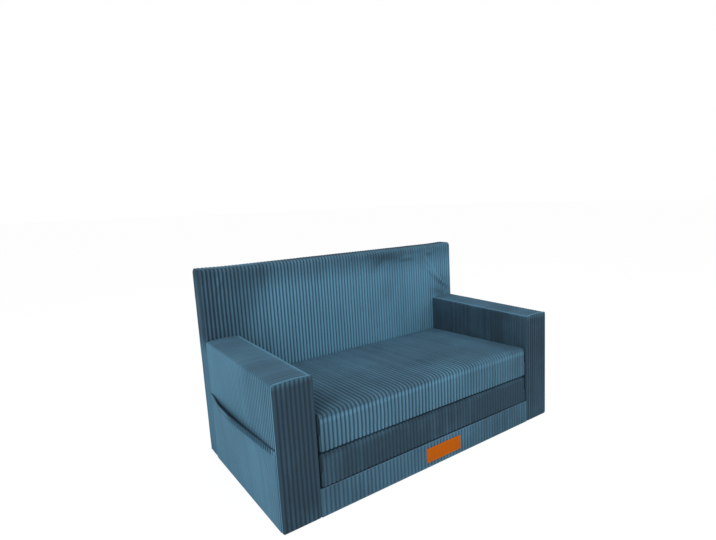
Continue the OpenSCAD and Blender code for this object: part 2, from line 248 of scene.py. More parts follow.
@dataclass(frozen=True)
class Corduroy(Finish):
    """Ribbed pile: bright rib crests, grooves darkened with painted shade, and painted light and shade
    standing in for the pile's sheen and for shade.
    """

    # Painted light and shade: lit and shaded copies of the crests' colour and of the grooves' colour, the
    # grooves darker with painted shade.
    crest_dark: Tone = (44, 67, 82)
    crest_light: Tone = (98, 150, 178)
    groove_dark: Tone = (28, 44, 56)
    groove_light: Tone = (38, 66, 84)

    def tint(self, tree: Tree, pattern: Socket, coord: Socket) -> Socket:
        """Colour by the rib's height, with painted shade in the grooves, and by the painted light and shade
        at each point.

        Args:
            tree: The material's tree.
            pattern: The pile's fine noise.
            coord: Object coordinates.

        Returns:
            The base colour.
        """
        keys = ("rib", "nap", "strand")
        rib, nap, strand = (put(tree, "ShaderNodeAttribute", out="Fac", attribute_name=key) for key in keys)
        # Painted light and shade from the mark, broken up by random blotches and a random tone for each rib.
        lit_and_blotched = calc(tree, "SUBTRACT", nap, 0.33)
        lit_and_blotched = calc(tree, "MULTIPLY_ADD", noise(tree, coord, 7.0, 4.0), 0.56, lit_and_blotched)
        lit_level = calc(tree, "MULTIPLY_ADD", strand, 0.10, lit_and_blotched, clamp=True)
        speck = calc(tree, "MULTIPLY_ADD", pattern, 0.5, -0.25)
        height = calc(tree, "ADD", calc(tree, "POWER", rib, 1.6), speck, clamp=True)
        groove = blend(tree, lit_level, self.groove_dark, self.groove_light)
        return blend(tree, height, groove, blend(tree, lit_level, self.crest_dark, self.crest_light))


@dataclass(frozen=True)
class Weave(Finish):
    """Flat woven cloth with its threads over and under each other."""

    def pattern(self, tree: Tree, coord: Socket) -> Socket:
        """Two crossed sets of threads.

        Args:
            tree: The material's tree.
            coord: Object coordinates.

        Returns:
            The pattern.
        """
        ins = {"Vector": coord, "Scale": self.grain, "Distortion": 0.6}
        ways = ("DIAGONAL", "Z")
        sets = (put(tree, "ShaderNodeTexWave", ins, "Fac", bands_direction=way) for way in ways)
        return calc(tree, "MULTIPLY", *sets)


@dataclass(frozen=True)
class Cells(Finish):
    """Cells side by side, as in foam or the grain of leather."""

    def pattern(self, tree: Tree, coord: Socket) -> Socket:
        """The distance to the cells' edges, over a fine noise.

        Args:
            tree: The material's tree.
            coord: Object coordinates.

        Returns:
            The pattern.
        """
        ins = {"Vector": coord, "Scale": self.grain}
        cells = put(tree, "ShaderNodeTexVoronoi", ins, "Distance", feature="DISTANCE_TO_EDGE")
        return calc(tree, "MULTIPLY_ADD", noise(tree, coord, self.grain * 2), 0.3, cells, clamp=True)


CORDUROY = Corduroy("ribbed_pile", (85, 135, 165), (35, 62, 80), 0.95, 1500.0, 0.0004, sheen=0.12)
LINING = Weave("lining_weave", (44, 60, 74), (24, 35, 45), 0.85, 420.0)
SOLE = Weave("sole_weave", (40, 46, 52), (22, 26, 30), 0.9, 300.0)
FOAM = Cells("cut_foam", (238, 230, 204), (196, 184, 150), 0.95, 450.0, 0.0006)
LEATHER = Cells("label_leather", (200, 104, 0), (168, 78, 0), 0.6, 900.0, 0.0001, gloss=0.1)
TAPE = Weave("tape_weave", (46, 70, 86), (28, 44, 56), 0.8, 500.0)
COIL = Finish("teeth_plastic", (52, 74, 90), (34, 52, 64), 0.4, 600.0, 0.00005)
METAL = Finish("slider_metal", (168, 170, 174), (120, 122, 126), 0.33, 300.0, 0.00004, metallic=1.0)
THREAD = Finish("seam_thread", (66, 104, 128), (40, 70, 90), 0.7, 2500.0, sheen=0.3)
LABEL_THREAD = Finish("label_thread", (232, 142, 60), (180, 88, 24), 0.7, 2500.0, sheen=0.3)


# Geometry node trees


class TreeMaker:
    """Makes a geometry node tree with named inputs, and bakes it onto an object."""

    KINDS = {float: "NodeSocketFloat", int: "NodeSocketInt"}

    def __init__(self, name: str, sizes: dict[str, float | int]) -> None:
        """Start the tree.

        Args:
            name: The tree's name.
            sizes: Its inputs' names and values.
        """
        self.tree = bpy.data.node_groups.new(name, "GeometryNodeTree")
        self.sizes = sizes
        face = self.tree.interface
        face.new_socket("Geometry", in_out="INPUT", socket_type="NodeSocketGeometry")
        kinds = {key: self.KINDS[type(value)] for key, value in sizes.items()}
        kinds["Finish"] = "NodeSocketMaterial"
        self.keys: dict[str, str] = {}
        for key, kind in kinds.items():
            self.keys[key] = face.new_socket(key, in_out="INPUT", socket_type=kind).identifier
        face.new_socket("Geometry", in_out="OUTPUT", socket_type="NodeSocketGeometry")
        self.ins = self.tree.nodes.new("NodeGroupInput").outputs

    def line(self) -> Socket:
        """The curve of the object's edges."""
        return put(self.tree, "GeometryNodeMeshToCurve", {"Mesh": self.ins["Geometry"]})

    def spots(self) -> Socket:
        """Points along that curve, one step apart."""
        ins = {"Curve": self.line(), "Length": self.ins["Step"]}
        return put(self.tree, "GeometryNodeCurveToPoints", ins, mode="LENGTH")

    def tube(self, line: Socket, radius: Socket) -> Socket:
        """A round tube along a curve, closed at its ends.

        Args:
            line: The curve.
            radius: Its radius.

        Returns:
            The mesh.
        """
        ring = put(self.tree, "GeometryNodeCurvePrimitiveCircle", {"Resolution": 8, "Radius": radius})
        ins = {"Curve": line, "Profile Curve": ring, "Fill Caps": True}
        return put(self.tree, "GeometryNodeCurveToMesh", ins)

    def end(self, geometry: Socket) -> TreeMaker:
        """End the tree in realized instances with their material.

        Args:
            geometry: What the tree makes.

        Returns:
            This maker.
        """
        real = put(self.tree, "GeometryNodeRealizeInstances", {"Geometry": geometry})
        ins = {"Geometry": real, "Material": self.ins["Finish"]}
        put(self.tree, "NodeGroupOutput", {"Geometry": put(self.tree, "GeometryNodeSetMaterial", ins)})
        return self

    def bake(self, piece: Piece, finish: Finish, **sizes: float | int) -> Piece:
        """Run the tree on an object and keep its result as a plain mesh.

        Args:
            piece: The object.
            finish: Its finish.
            **sizes: Inputs that differ from the tree's own.

        Returns:
            The object.
        """
        modifier = piece.modifiers.new(self.tree.name, "NODES")
        modifier.node_group = self.tree
        for key, value in {**self.sizes, **sizes, "Finish": finish.build()}.items():
            modifier[self.keys[key]] = value
        graph = bpy.context.evaluated_depsgraph_get()
        made = bpy.data.meshes.new_from_object(
            piece.evaluated_get(graph), preserve_all_data_layers=True, depsgraph=graph,
        )
        piece.modifiers.clear()
        old, piece.data = piece.data, made
        bpy.data.meshes.remove(old)
        made.name = piece.name
        return piece


def rib_tree() -> TreeMaker:
    """Corduroy ribs along the mark "across".

    The mark "fade" flattens them where it is 0, and "shade" is how much painted shade their grooves get.

    Returns:
        The tree.
    """
    made = TreeMaker("Corduroy Ribs", {
        "Pitch": RIB_PITCH, "Depth": 0.0021, "Wander": 0.0026, "Wander Scale": 9.0, "Unevenness": 0.0011,
        "Unevenness Scale": 16.0, "Seed": 3,
    })
    tree, ins = made.tree, made.ins
    across, fade, shade = (
        put(tree, "GeometryNodeInputNamedAttribute", {"Name": name}, "Attribute", data_type="FLOAT")
        for name in ("across", "fade", "shade")
    )
    place = put(tree, "GeometryNodeInputPosition")

    def wave(part: str, shift: float) -> Socket:
        """Noise about 0, from the tree's seed.

        Args:
            part: The name of its strength and its scale among the inputs.
            shift: Keeps it apart from other noise.

        Returns:
            The noise.
        """
        seed = calc(tree, "ADD", ins["Seed"], shift)
        spread = {"Vector": place, "W": seed, "Scale": ins[f"{part} Scale"], "Detail": 1.0}
        middle = calc(tree, "SUBTRACT", put(tree, "ShaderNodeTexNoise", spread, noise_dimensions="4D"), 0.5)
        return calc(tree, "MULTIPLY", middle, ins[part])

    count = calc(tree, "DIVIDE", calc(tree, "ADD", across, wave("Wander", 0.0)), ins["Pitch"])
    off = calc(tree, "ABSOLUTE", calc(tree, "MULTIPLY_ADD", calc(tree, "FRACT", count), 2.0, -1.0))
    dip = calc(tree, "MULTIPLY", calc(tree, "POWER", off, 2.2), fade)
    rise = calc(tree, "MULTIPLY", wave("Unevenness", 7.0), fade)
    out = calc(tree, "SUBTRACT", rise, calc(tree, "MULTIPLY", dip, ins["Depth"]))
    normal = put(tree, "GeometryNodeInputNormal")
    shift = put(tree, "ShaderNodeVectorMath", {0: normal, "Scale": out}, operation="SCALE")
    moved = put(tree, "GeometryNodeSetPosition", {"Geometry": ins["Geometry"], "Offset": shift})
    # The rib's height for colouring, lowered in the grooves by their painted shade.
    height = calc(tree, "SUBTRACT", 1.0, calc(tree, "MULTIPLY", dip, shade))
    number = calc(tree, "ADD", calc(tree, "FLOOR", count), ins["Seed"])
    chance = put(tree, "ShaderNodeTexWhiteNoise", {"W": number}, "Value", noise_dimensions="1D")
    return made.end(mark(tree, mark(tree, moved, "rib", height), "strand", chance))


def welt_tree() -> TreeMaker:
    """A round seam roll along a line of edges.

    Returns:
        The tree.
    """
    made = TreeMaker("Seam Roll", {"Radius": 0.0012, "Step": 0.004})
    tree, ins = made.tree, made.ins
    steps = {"Curve": made.line(), "Length": ins["Step"]}
    even = put(tree, "GeometryNodeResampleCurve", steps, mode="LENGTH")
    return made.end(mark(tree, made.tube(even, ins["Radius"]), "rib", 1.0))


def stitch_tree() -> TreeMaker:
    """Stitches laid one after another along a line of edges.

    Returns:
        The tree.
    """
    made = TreeMaker("Stitch Row", {"Step": 0.0042, "Length": 0.0031, "Width": 0.0009})
    tree, ins = made.tree, made.ins
    spots = made.spots()
    bead = put(tree, "GeometryNodeMeshUVSphere", {"Segments": 6, "Rings": 5, "Radius": 0.5}, "Mesh")
    size = put(tree, "ShaderNodeCombineXYZ", {0: ins["Width"], 1: ins["Width"], 2: ins["Length"]})
    return made.end(put(tree, "GeometryNodeInstanceOnPoints", {
        "Points": spots, "Instance": bead, "Rotation": spots.node.outputs["Rotation"], "Scale": size,
    }))


def teeth_tree() -> TreeMaker:
    """Zip teeth, upright bars one beside another along a line of edges, over a core.

    Returns:
        The tree.
    """
    made = TreeMaker("Zip Teeth", {"Step": 0.0018, "Radius": 0.00062, "Width": 0.0048, "Core": 0.00055})
    tree, ins = made.tree, made.ins
    size = {"Vertices": 8, "Radius": ins["Radius"], "Depth": ins["Width"]}
    bar = put(tree, "GeometryNodeMeshCylinder", size, "Mesh")
    laid = put(tree, "GeometryNodeInstanceOnPoints", {"Points": made.spots(), "Instance": bar})
    both = tree.nodes.new("GeometryNodeJoinGeometry")
    for part in (laid, made.tube(made.line(), ins["Core"])):
        tree.links.new(part, both.inputs[0])
    return made.end(both.outputs[0])


RIBS, WELT, STITCHES, TEETH = rib_tree(), welt_tree(), stitch_tree(), teeth_tree()


# Meshes


def node_box(node: str) -> Box:
    """The lowest and highest corner of a node of the frame."""
    low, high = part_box(node)
    return np.array(low), np.array(high)


def coords(*axes: Array | float) -> Array:
    """Points from their coordinates, each an array or a number."""
    return np.stack(np.broadcast_arrays(*axes), -1)


def curve(value: Array, *corners: tuple[float, float]) -> Array:
    """Heights of a bent line at the given values, from its corners."""
    return np.interp(value, *np.transpose(corners))


def spaced(a: float, b: float, step: float, fine: float = 0.0001) -> Array:
    """Places from a to b, step apart, and closer and closer towards both ends.

    Args:
        a: The first place.
        b: The last place.
        step: The distance in the middle.
        fine: The first distance.

    Returns:
        The places.
    """
    ends = [0.0]
    while 2 * fine * len(ends) < step and fine * len(ends) ** 2 < (b - a) / 3:
        ends.append(fine * len(ends) ** 2)
    near = np.array(ends)
    count = max(2, math.ceil((b - a - 2 * near[-1]) / step) + 1)
    even = np.linspace(a + near[-1], b - near[-1], count)
    return np.concatenate([a + near[:-1], even, (b - near[:-1])[::-1]])


def slotted(places: Array, start: float, end: float) -> Array:
    """Places with those near an opening's ends moved onto them and its lips."""
    clear = np.minimum(np.abs(places - start), np.abs(places - end)) > SLOT_NEAR
    return np.unique([*places[clear], start, start + SLOT_LIP, end - SLOT_LIP, end])


def half_turn(width: float, count: int) -> Array:
    """Places from 0 to a width, closer towards both ends as on a half circle."""
    return width / 2 * (1 - np.cos(np.linspace(0, math.pi, count)))


def smooth(value: Array, low: float, high: float) -> Array:
    """A smooth step from 0 at low to 1 at high."""
    t = np.clip((value - low) / (high - low), 0, 1)
    return t * t * (3 - 2 * t)


def rounded(radius: float, d: Array) -> Array:
    """The height of a quarter circle at a distance d from its foot."""
    return np.sqrt(np.maximum(0, radius**2 - np.maximum(0, radius - d) ** 2))


def bulge(radius: float, d: Array) -> Array:
    """How far a rounded edge has fallen away at a distance d from its end."""
    return radius - rounded(radius, d)


def outline_distance(u: Array, w: Array, outline: Array) -> Array:
    """The distance of points from a line of points.

    Args:
        u: First coordinates.
        w: Second coordinates.
        outline: The line's points.

    Returns:
        The distances.
    """
    near = np.full(u.shape, np.inf)
    for a, b in zip(outline[:-1], outline[1:]):
        d = b - a
        t = np.clip(((u - a[0]) * d[0] + (w - a[1]) * d[1]) / max(float(d @ d), 1e-14), 0, 1)
        near = np.minimum(near, np.hypot(u - a[0] - t * d[0], w - a[1] - t * d[1]))
    return near


def catmull(values: Array, at: Array) -> Array:
    """Values between samples, on a smooth curve through them.

    Args:
        values: The samples, along the first axis.
        at: Where to take them, in samples from 0.

    Returns:
        The values.
    """
    last = len(values) - 1
    i = np.clip(np.floor(at).astype(int), 0, last - 1)
    t = (at - i).reshape(-1, *[1] * (values.ndim - 1))
    p = [values[np.clip(i + k, 0, last)] for k in (-1, 0, 1, 2)]
    cubic = 3 * (p[1] - p[2]) + p[3] - p[0]
    return p[1] + 0.5 * t * (p[2] - p[0] + t * (2 * p[0] - 5 * p[1] + 4 * p[2] - p[3] + t * cubic))


def grid_quads(rows: int, cols: int, wrap: bool = False) -> Array:
    """The quads of a grid of points.

    Args:
        rows: Rows of points.
        cols: Points in a row.
        wrap: Join the last point of a row to the first.

    Returns:
        Four point numbers for each quad.
    """
    i, j = np.meshgrid(np.arange(rows - 1), np.arange(cols if wrap else cols - 1), indexing="ij")
    a, b = i * cols + j, i * cols + (j + 1) % cols
    return np.stack([a, b, b + cols, a + cols], -1).reshape(-1, 4)


def add(name: str, data: bpy.types.ID, **marks: Array | float) -> Piece:
    """Put an object in the scene.

    Args:
        name: Its name.
        data: Its mesh, lamp or camera.
        **marks: Values at its mesh's points.

    Returns:
        The object.
    """
    for key, value in marks.items():
        spread = np.ascontiguousarray(np.broadcast_to(value, len(data.vertices)), np.float32)
        data.attributes.new(key, "FLOAT", "POINT").data.foreach_set("value", spread)
    piece = bpy.data.objects.new(name, data)
    bpy.context.scene.collection.objects.link(piece)
    return piece


def mesh_object(
    name: str, points: Array, faces: Array, caps: Sequence[Sequence[int]] = (), **marks: Array,
) -> Piece:
    """Make a closed mesh with its faces outwards.

    Args:
        name: The piece's name.
        points: Its points.
        faces: Its quads.
        caps: Its other faces.
        **marks: Values at its points.

    Returns:
        The object.
    """
    points = points.reshape(-1, 3)
    every = [*faces.tolist(), *[list(c) for c in caps]]
    fans = [np.array([[f[0], f[k], f[k + 1]] for k in range(1, len(f) - 1)]) for f in caps]
    tris = np.concatenate([faces[:, [0, 1, 2]], faces[:, [0, 2, 3]], *fans])
    a, b, c = (points[tris[:, k]] for k in range(3))
    if np.einsum("ij,ij->i", a, np.cross(b, c)).sum() < 0:
        every = [f[::-1] for f in every]
    mesh = bpy.data.meshes.new(name)
    mesh.from_pydata(points.tolist(), [], every)
    mesh.polygons.foreach_set("use_smooth", np.ones(len(mesh.polygons), bool))
    mesh.set_sharp_from_angle(angle=math.radians(55))
    return add(name, mesh, **marks)


def facing(box: Box, run: int, out: int, way: int = 1) -> Place:
    """Lay a flat piece against a face of a box.

    Args:
        box: The lowest and highest corner.
        run: The axis that u runs along.
        out: The axis that the face looks along.
        way: 1 if it looks up that axis, or -1 if it looks down.

    Returns:
        What carries (u, w, out) to the frame.
    """
    level = box[max(way, 0)][out]

    def place(u: Array, w: Array, off: Array) -> Array:
        """Put each coordinate on its axis.

        Args:
            u: Places along the run.
            w: Places along the third axis.
            off: Distances outwards from the face.

        Returns:
            The points.
        """
        point = np.empty((len(u), 3))
        point[:, run], point[:, 3 - run - out], point[:, out] = u, w, level + way * off
        return point

    return place


def line_object(name: str, runs: Sequence[Array], closed: bool = False, nap: Array | float = 0.75) -> Piece:
    """Make lines of edges.

    Args:
        name: The object's name.
        runs: The points of each line.
        closed: Join each line's ends.
        nap: The painted light and shade at each point.

    Returns:
        The object.
    """
    points, edges = [], []
    for run in runs:
        first, count = len(points), len(run)
        points += [tuple(p) for p in run]
        edges += [(first + k, first + (k + 1) % count) for k in range(count if closed else count - 1)]
    mesh = bpy.data.meshes.new(name)
    mesh.from_pydata(points, edges, [])
    return add(name, mesh, nap=nap)


def settle(piece: Piece, body: str, slot: Slot, *nodes: str, finish: Finish | None = None) -> Piece:
    """Put a piece on its body and in place of its nodes, and report it.

    Args:
        piece: The piece.
        body: The body that it rides on, or "" for none.
        slot: Its material slot; not used.
        *nodes: The nodes that it stands for.
        finish: Its finish, if it has none yet.

    Returns:
        The piece.
    """
    if finish:
        piece.data.materials.append(finish.build())
    if body:
        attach(piece, body)
    if nodes:
        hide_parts(*nodes)
    LOG.info("%s: %d faces, for %s", piece.name, len(piece.data.polygons), ", ".join(nodes) or "trim")
    return piece


def ribbed(piece: Piece, node: str, body: str = "shell", fill: float = 1.0, **sizes: float | int) -> Piece:
    """Give a padded cover its ribs and settle it.

    Args:
        piece: The cover.
        node: The node that it stands for.
        body: The body that it rides on.
        fill: How full it is; not used.
        **sizes: Inputs of the ribs' tree.

    Returns:
        The piece.
    """
    RIBS.bake(piece, CORDUROY, **sizes)
    return settle(piece, body, Slot.CORDUROY, node)


@dataclass
class Panel:
    """A panel of cloth between a lower and an upper outline, with a rolled edge.

    u holds the columns' places and low and high the outlines' heights at each.
    A window, (u0, u1, w0, w1), stays free of ribs for a zip.
    """

    u: Array
    low: Array
    high: Array
    thickness: float
    roll: float = 0.0025
    step: float = 0.010
    fine: float = 0.0004
    start: float = 0.0
    calm: float = 0.004
    curved: bool = False
    window: tuple[float, float, float, float] | None = None

    @classmethod
    def oblong(cls, u: Array, low: float, high: float, *sizes: float, **others: Any) -> Panel:
        """A panel between straight edges."""
        return cls(u, np.full_like(u, low), np.full_like(u, high), *sizes, **others)

    def rows(self) -> Array:
        """Place the rows of points where the panel is tallest.

        Returns:
            Their heights.
        """
        low, high = float(self.low.min()), float(self.high.max())
        if self.window is None:
            return spaced(low, high, self.step, self.fine)
        w0, w1 = self.window[2:]
        slot = [w0 + SLOT_LIP, (w0 + w1) / 2, w1 - SLOT_LIP]
        below, above = (spaced(*ends, self.step, self.fine) for ends in ((low, w0), (w1, high)))
        return np.array([*below, *slot, *above])

    def beyond(self, u: Array, w: Array) -> Array:
        """How far points lie outside the window, less than 0 inside it."""
        u0, u1, w0, w1 = self.window
        return np.maximum(np.maximum(u0 - u, u - u1), np.maximum(w0 - w, w - w1))

    def build(self, name: str, place: Place, nap: Spread, shade: Spread = 1.0) -> Piece:
        """Build the panel's mesh.

        Args:
            name: The piece's name.
            place: Carries (u, w, out) to the frame.
            nap: The painted light and shade at (u, w).
            shade: How much painted shade the grooves get at (u, w).

        Returns:
            The object.
        """
        z = self.rows()
        low, high = float(self.low.min()), float(self.high.max())
        bent_low, bent_high = low, high
        if self.window:
            bent_low, bent_high = self.window[3] + SLOT_CLEAR, self.window[2] - SLOT_CLEAR
        up = np.clip((z - bent_low) / (high - bent_low), 0, 1)[:, None]
        down = np.clip((bent_high - z) / (bent_high - low), 0, 1)[:, None]
        w = z[:, None] + up * (self.high - high)[None] + down * (self.low - low)[None]
        u = np.broadcast_to(self.u, w.shape)
        foot, top = coords(self.u, self.low), coords(self.u, self.high)
        near = outline_distance(u, w, np.concatenate([foot, top[::-1], foot[:1]]))
        out = -bulge(self.roll, near + self.start)
        fade = smooth(near, 0.0, self.calm)
        if self.window:
            fade = fade * smooth(self.beyond(u, w), SLOT_LIP, SLOT_CALM)
        rows, cols = w.shape
        start = rows * cols
        number = np.arange(start).reshape(rows, cols)
        rim = np.concatenate([number[0], number[1:, -1], number[-1, -2::-1], number[-2:0:-1, 0]])
        # Painted light and shade, and the grooves' painted shade, at each point.
        tones = (value(u, w) if callable(value) else value for value in (nap, shade))
        lit_level, dark = (np.broadcast_to(tone, w.shape) for tone in tones)
        behind = np.arange(start) if self.curved else rim
        spot = {int(n): start + k for k, n in enumerate(behind)}
        back = np.array([spot[int(n)] for n in rim])
        faces = [grid_quads(rows, cols), np.stack([np.roll(rim, -1), rim, back, np.roll(back, -1)], -1)]
        if self.curved:
            faces.append(grid_quads(rows, cols)[:, ::-1] + start)

        def both(front: Array, rear: Array | float) -> Array:
            """Values of the front's points and of those behind."""
            return np.concatenate([front.ravel(), np.broadcast_to(rear, u.shape).ravel()[behind]])

        # The cloth's back faces get painted shade, 0.8 below the front's painted light.
        return mesh_object(
            name, place(both(u, u), both(w, w), both(out, -self.thickness)), np.concatenate(faces),
            [] if self.curved else [back[::-1].tolist()],
            across=both(u, u), fade=both(fade, 0.0), nap=both(lit_level, lit_level - 0.8), shade=both(dark, dark),
        )


@dataclass
class Stuffing:
    """Fills a cover until its cloth is tight, by a cloth simulation."""

    cap: float
    pressure: float = 4.0
    frames: int = 20

    def swell(self, points: Array) -> Array:
        """Simulate a coarse cover, held at its two end seams.

        Args:
            points: Rings of points, one ring after another.

        Returns:
            How far each point moves.
        """
        scene = bpy.context.scene
        rings, count = points.shape[:2]
        caps = ring_caps(rings, count)
        piece = mesh_object("stuffing", points, grid_quads(rings, count, wrap=True), caps)
        pins = piece.vertex_groups.new(name="seams")
        pins.add([*caps[0], *caps[1]], 1.0, "REPLACE")
        cloth = piece.modifiers.new("cloth", "CLOTH")
        cloth.settings.use_pressure = True
        cloth.settings.uniform_pressure_force = self.pressure
        cloth.settings.vertex_group_mass = pins.name
        cloth.settings.effector_weights.gravity = 0.0
        cloth.settings.quality = 6
        cloth.point_cache.frame_start, cloth.point_cache.frame_end = 1, self.frames
        for number in range(1, self.frames + 1):
            scene.frame_set(number)
        after = piece.evaluated_get(bpy.context.evaluated_depsgraph_get()).data
        found = np.empty(len(after.vertices) * 3)
        after.vertices.foreach_get("co", found)
        mesh = piece.data
        bpy.data.objects.remove(piece)
        bpy.data.meshes.remove(mesh)
        scene.frame_set(1)
        move = found.reshape(points.shape) - points
        length = np.linalg.norm(move, axis=-1, keepdims=True)
        return move * np.minimum(1, self.cap / np.maximum(length, 1e-9))


def ring_caps(rings: int, count: int) -> list[list[int]]:
    """The points of the first and the last of some rings, as faces."""
    return [list(range(count))[::-1], list(range((rings - 1) * count, rings * count))]


@dataclass
class Wrap:
    """A cover whose closed section is swept along X or Y, with its ribs round the section.

    points holds one ring of points for each of the places along the sweep.
    """

    places: Array
    points: Array

    def seam_distance(self) -> Array:
        """The distance of each place from the nearer end seam."""
        return np.minimum(self.places - self.places[0], self.places[-1] - self.places)

    def stuffed(self, stuffing: Stuffing, weight: Array, hop: int = 2, skip: int = 14) -> Wrap:
        """Let the stuffing swell the cover.

        Args:
            stuffing: The simulation.
            weight: The share of the swelling for each point of the ring.
            hop: Points from one simulated point of a ring to the next.
            skip: Places from one simulated ring to the next.

        Returns:
            The cover.
        """
        rings, count = self.points.shape[:2]
        rows = np.unique([*range(0, rings, skip), rings - 1])
        cols = np.arange(0, count, hop)
        move = stuffing.swell(self.points[np.ix_(rows, cols)])
        looped = np.concatenate([move[:, -3:], move, move[:, :3]], 1)
        at = np.interp(np.arange(count), [*cols, count], np.arange(len(cols) + 1)) + 3
        full = catmull(np.swapaxes(looped, 0, 1), at).swapaxes(0, 1)
        full = catmull(full, np.interp(np.arange(rings), rows, np.arange(len(rows))))
        seam = smooth(self.seam_distance(), 0.0, 0.08)
        return Wrap(self.places, self.points + full * weight[None, :, None] * seam[:, None, None])

    def build(self, name: str, nap: Array, shade: Array, fade: Array | float = 1.0) -> Piece:
        """Build the cover's mesh.

        Args:
            name: The piece's name.
            nap: The painted light and shade at each point.
            shade: How much painted shade the grooves get at each point.
            fade: The share of the ribs' depth at each point.

        Returns:
            The object.
        """
        size = self.points.shape[:2]
        calm = smooth(self.seam_distance(), 0.0, 0.004)[:, None] * fade
        marks = {"across": self.places[:, None], "fade": calm, "nap": nap, "shade": shade}
        return mesh_object(
            name, self.points, grid_quads(*size, wrap=True), ring_caps(*size),
            **{key: np.broadcast_to(value, size).ravel() for key, value in marks.items()},
        )


def foam_core(node: str, body: str) -> Piece:
    """Model a cut block of foam with its edges eased, from the block of the frame.

    Args:
        node: The node of the block.
        body: The body that it rides on.

    Returns:
        The piece.
    """
    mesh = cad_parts[node].data.copy()
    mesh.name = f"{node}_core"
    work = bmesh.new()
    work.from_mesh(mesh)
    bmesh.ops.remove_doubles(work, verts=work.verts, dist=1e-5)
    bmesh.ops.dissolve_limit(work, angle_limit=math.radians(1), verts=work.verts, edges=work.edges)
    long_edges = [e for e in work.edges if e.calc_length() > 0.02]
    bmesh.ops.bevel(work, geom=long_edges, offset=0.002, segments=2, affect="EDGES", clamp_overlap=True)
    bmesh.ops.recalc_face_normals(work, faces=work.faces)
    work.to_mesh(mesh)
    work.free()
    mesh.materials.clear()
    return settle(add(mesh.name, mesh), body, Slot.FOAM, node, finish=FOAM)


# The sofa's parts


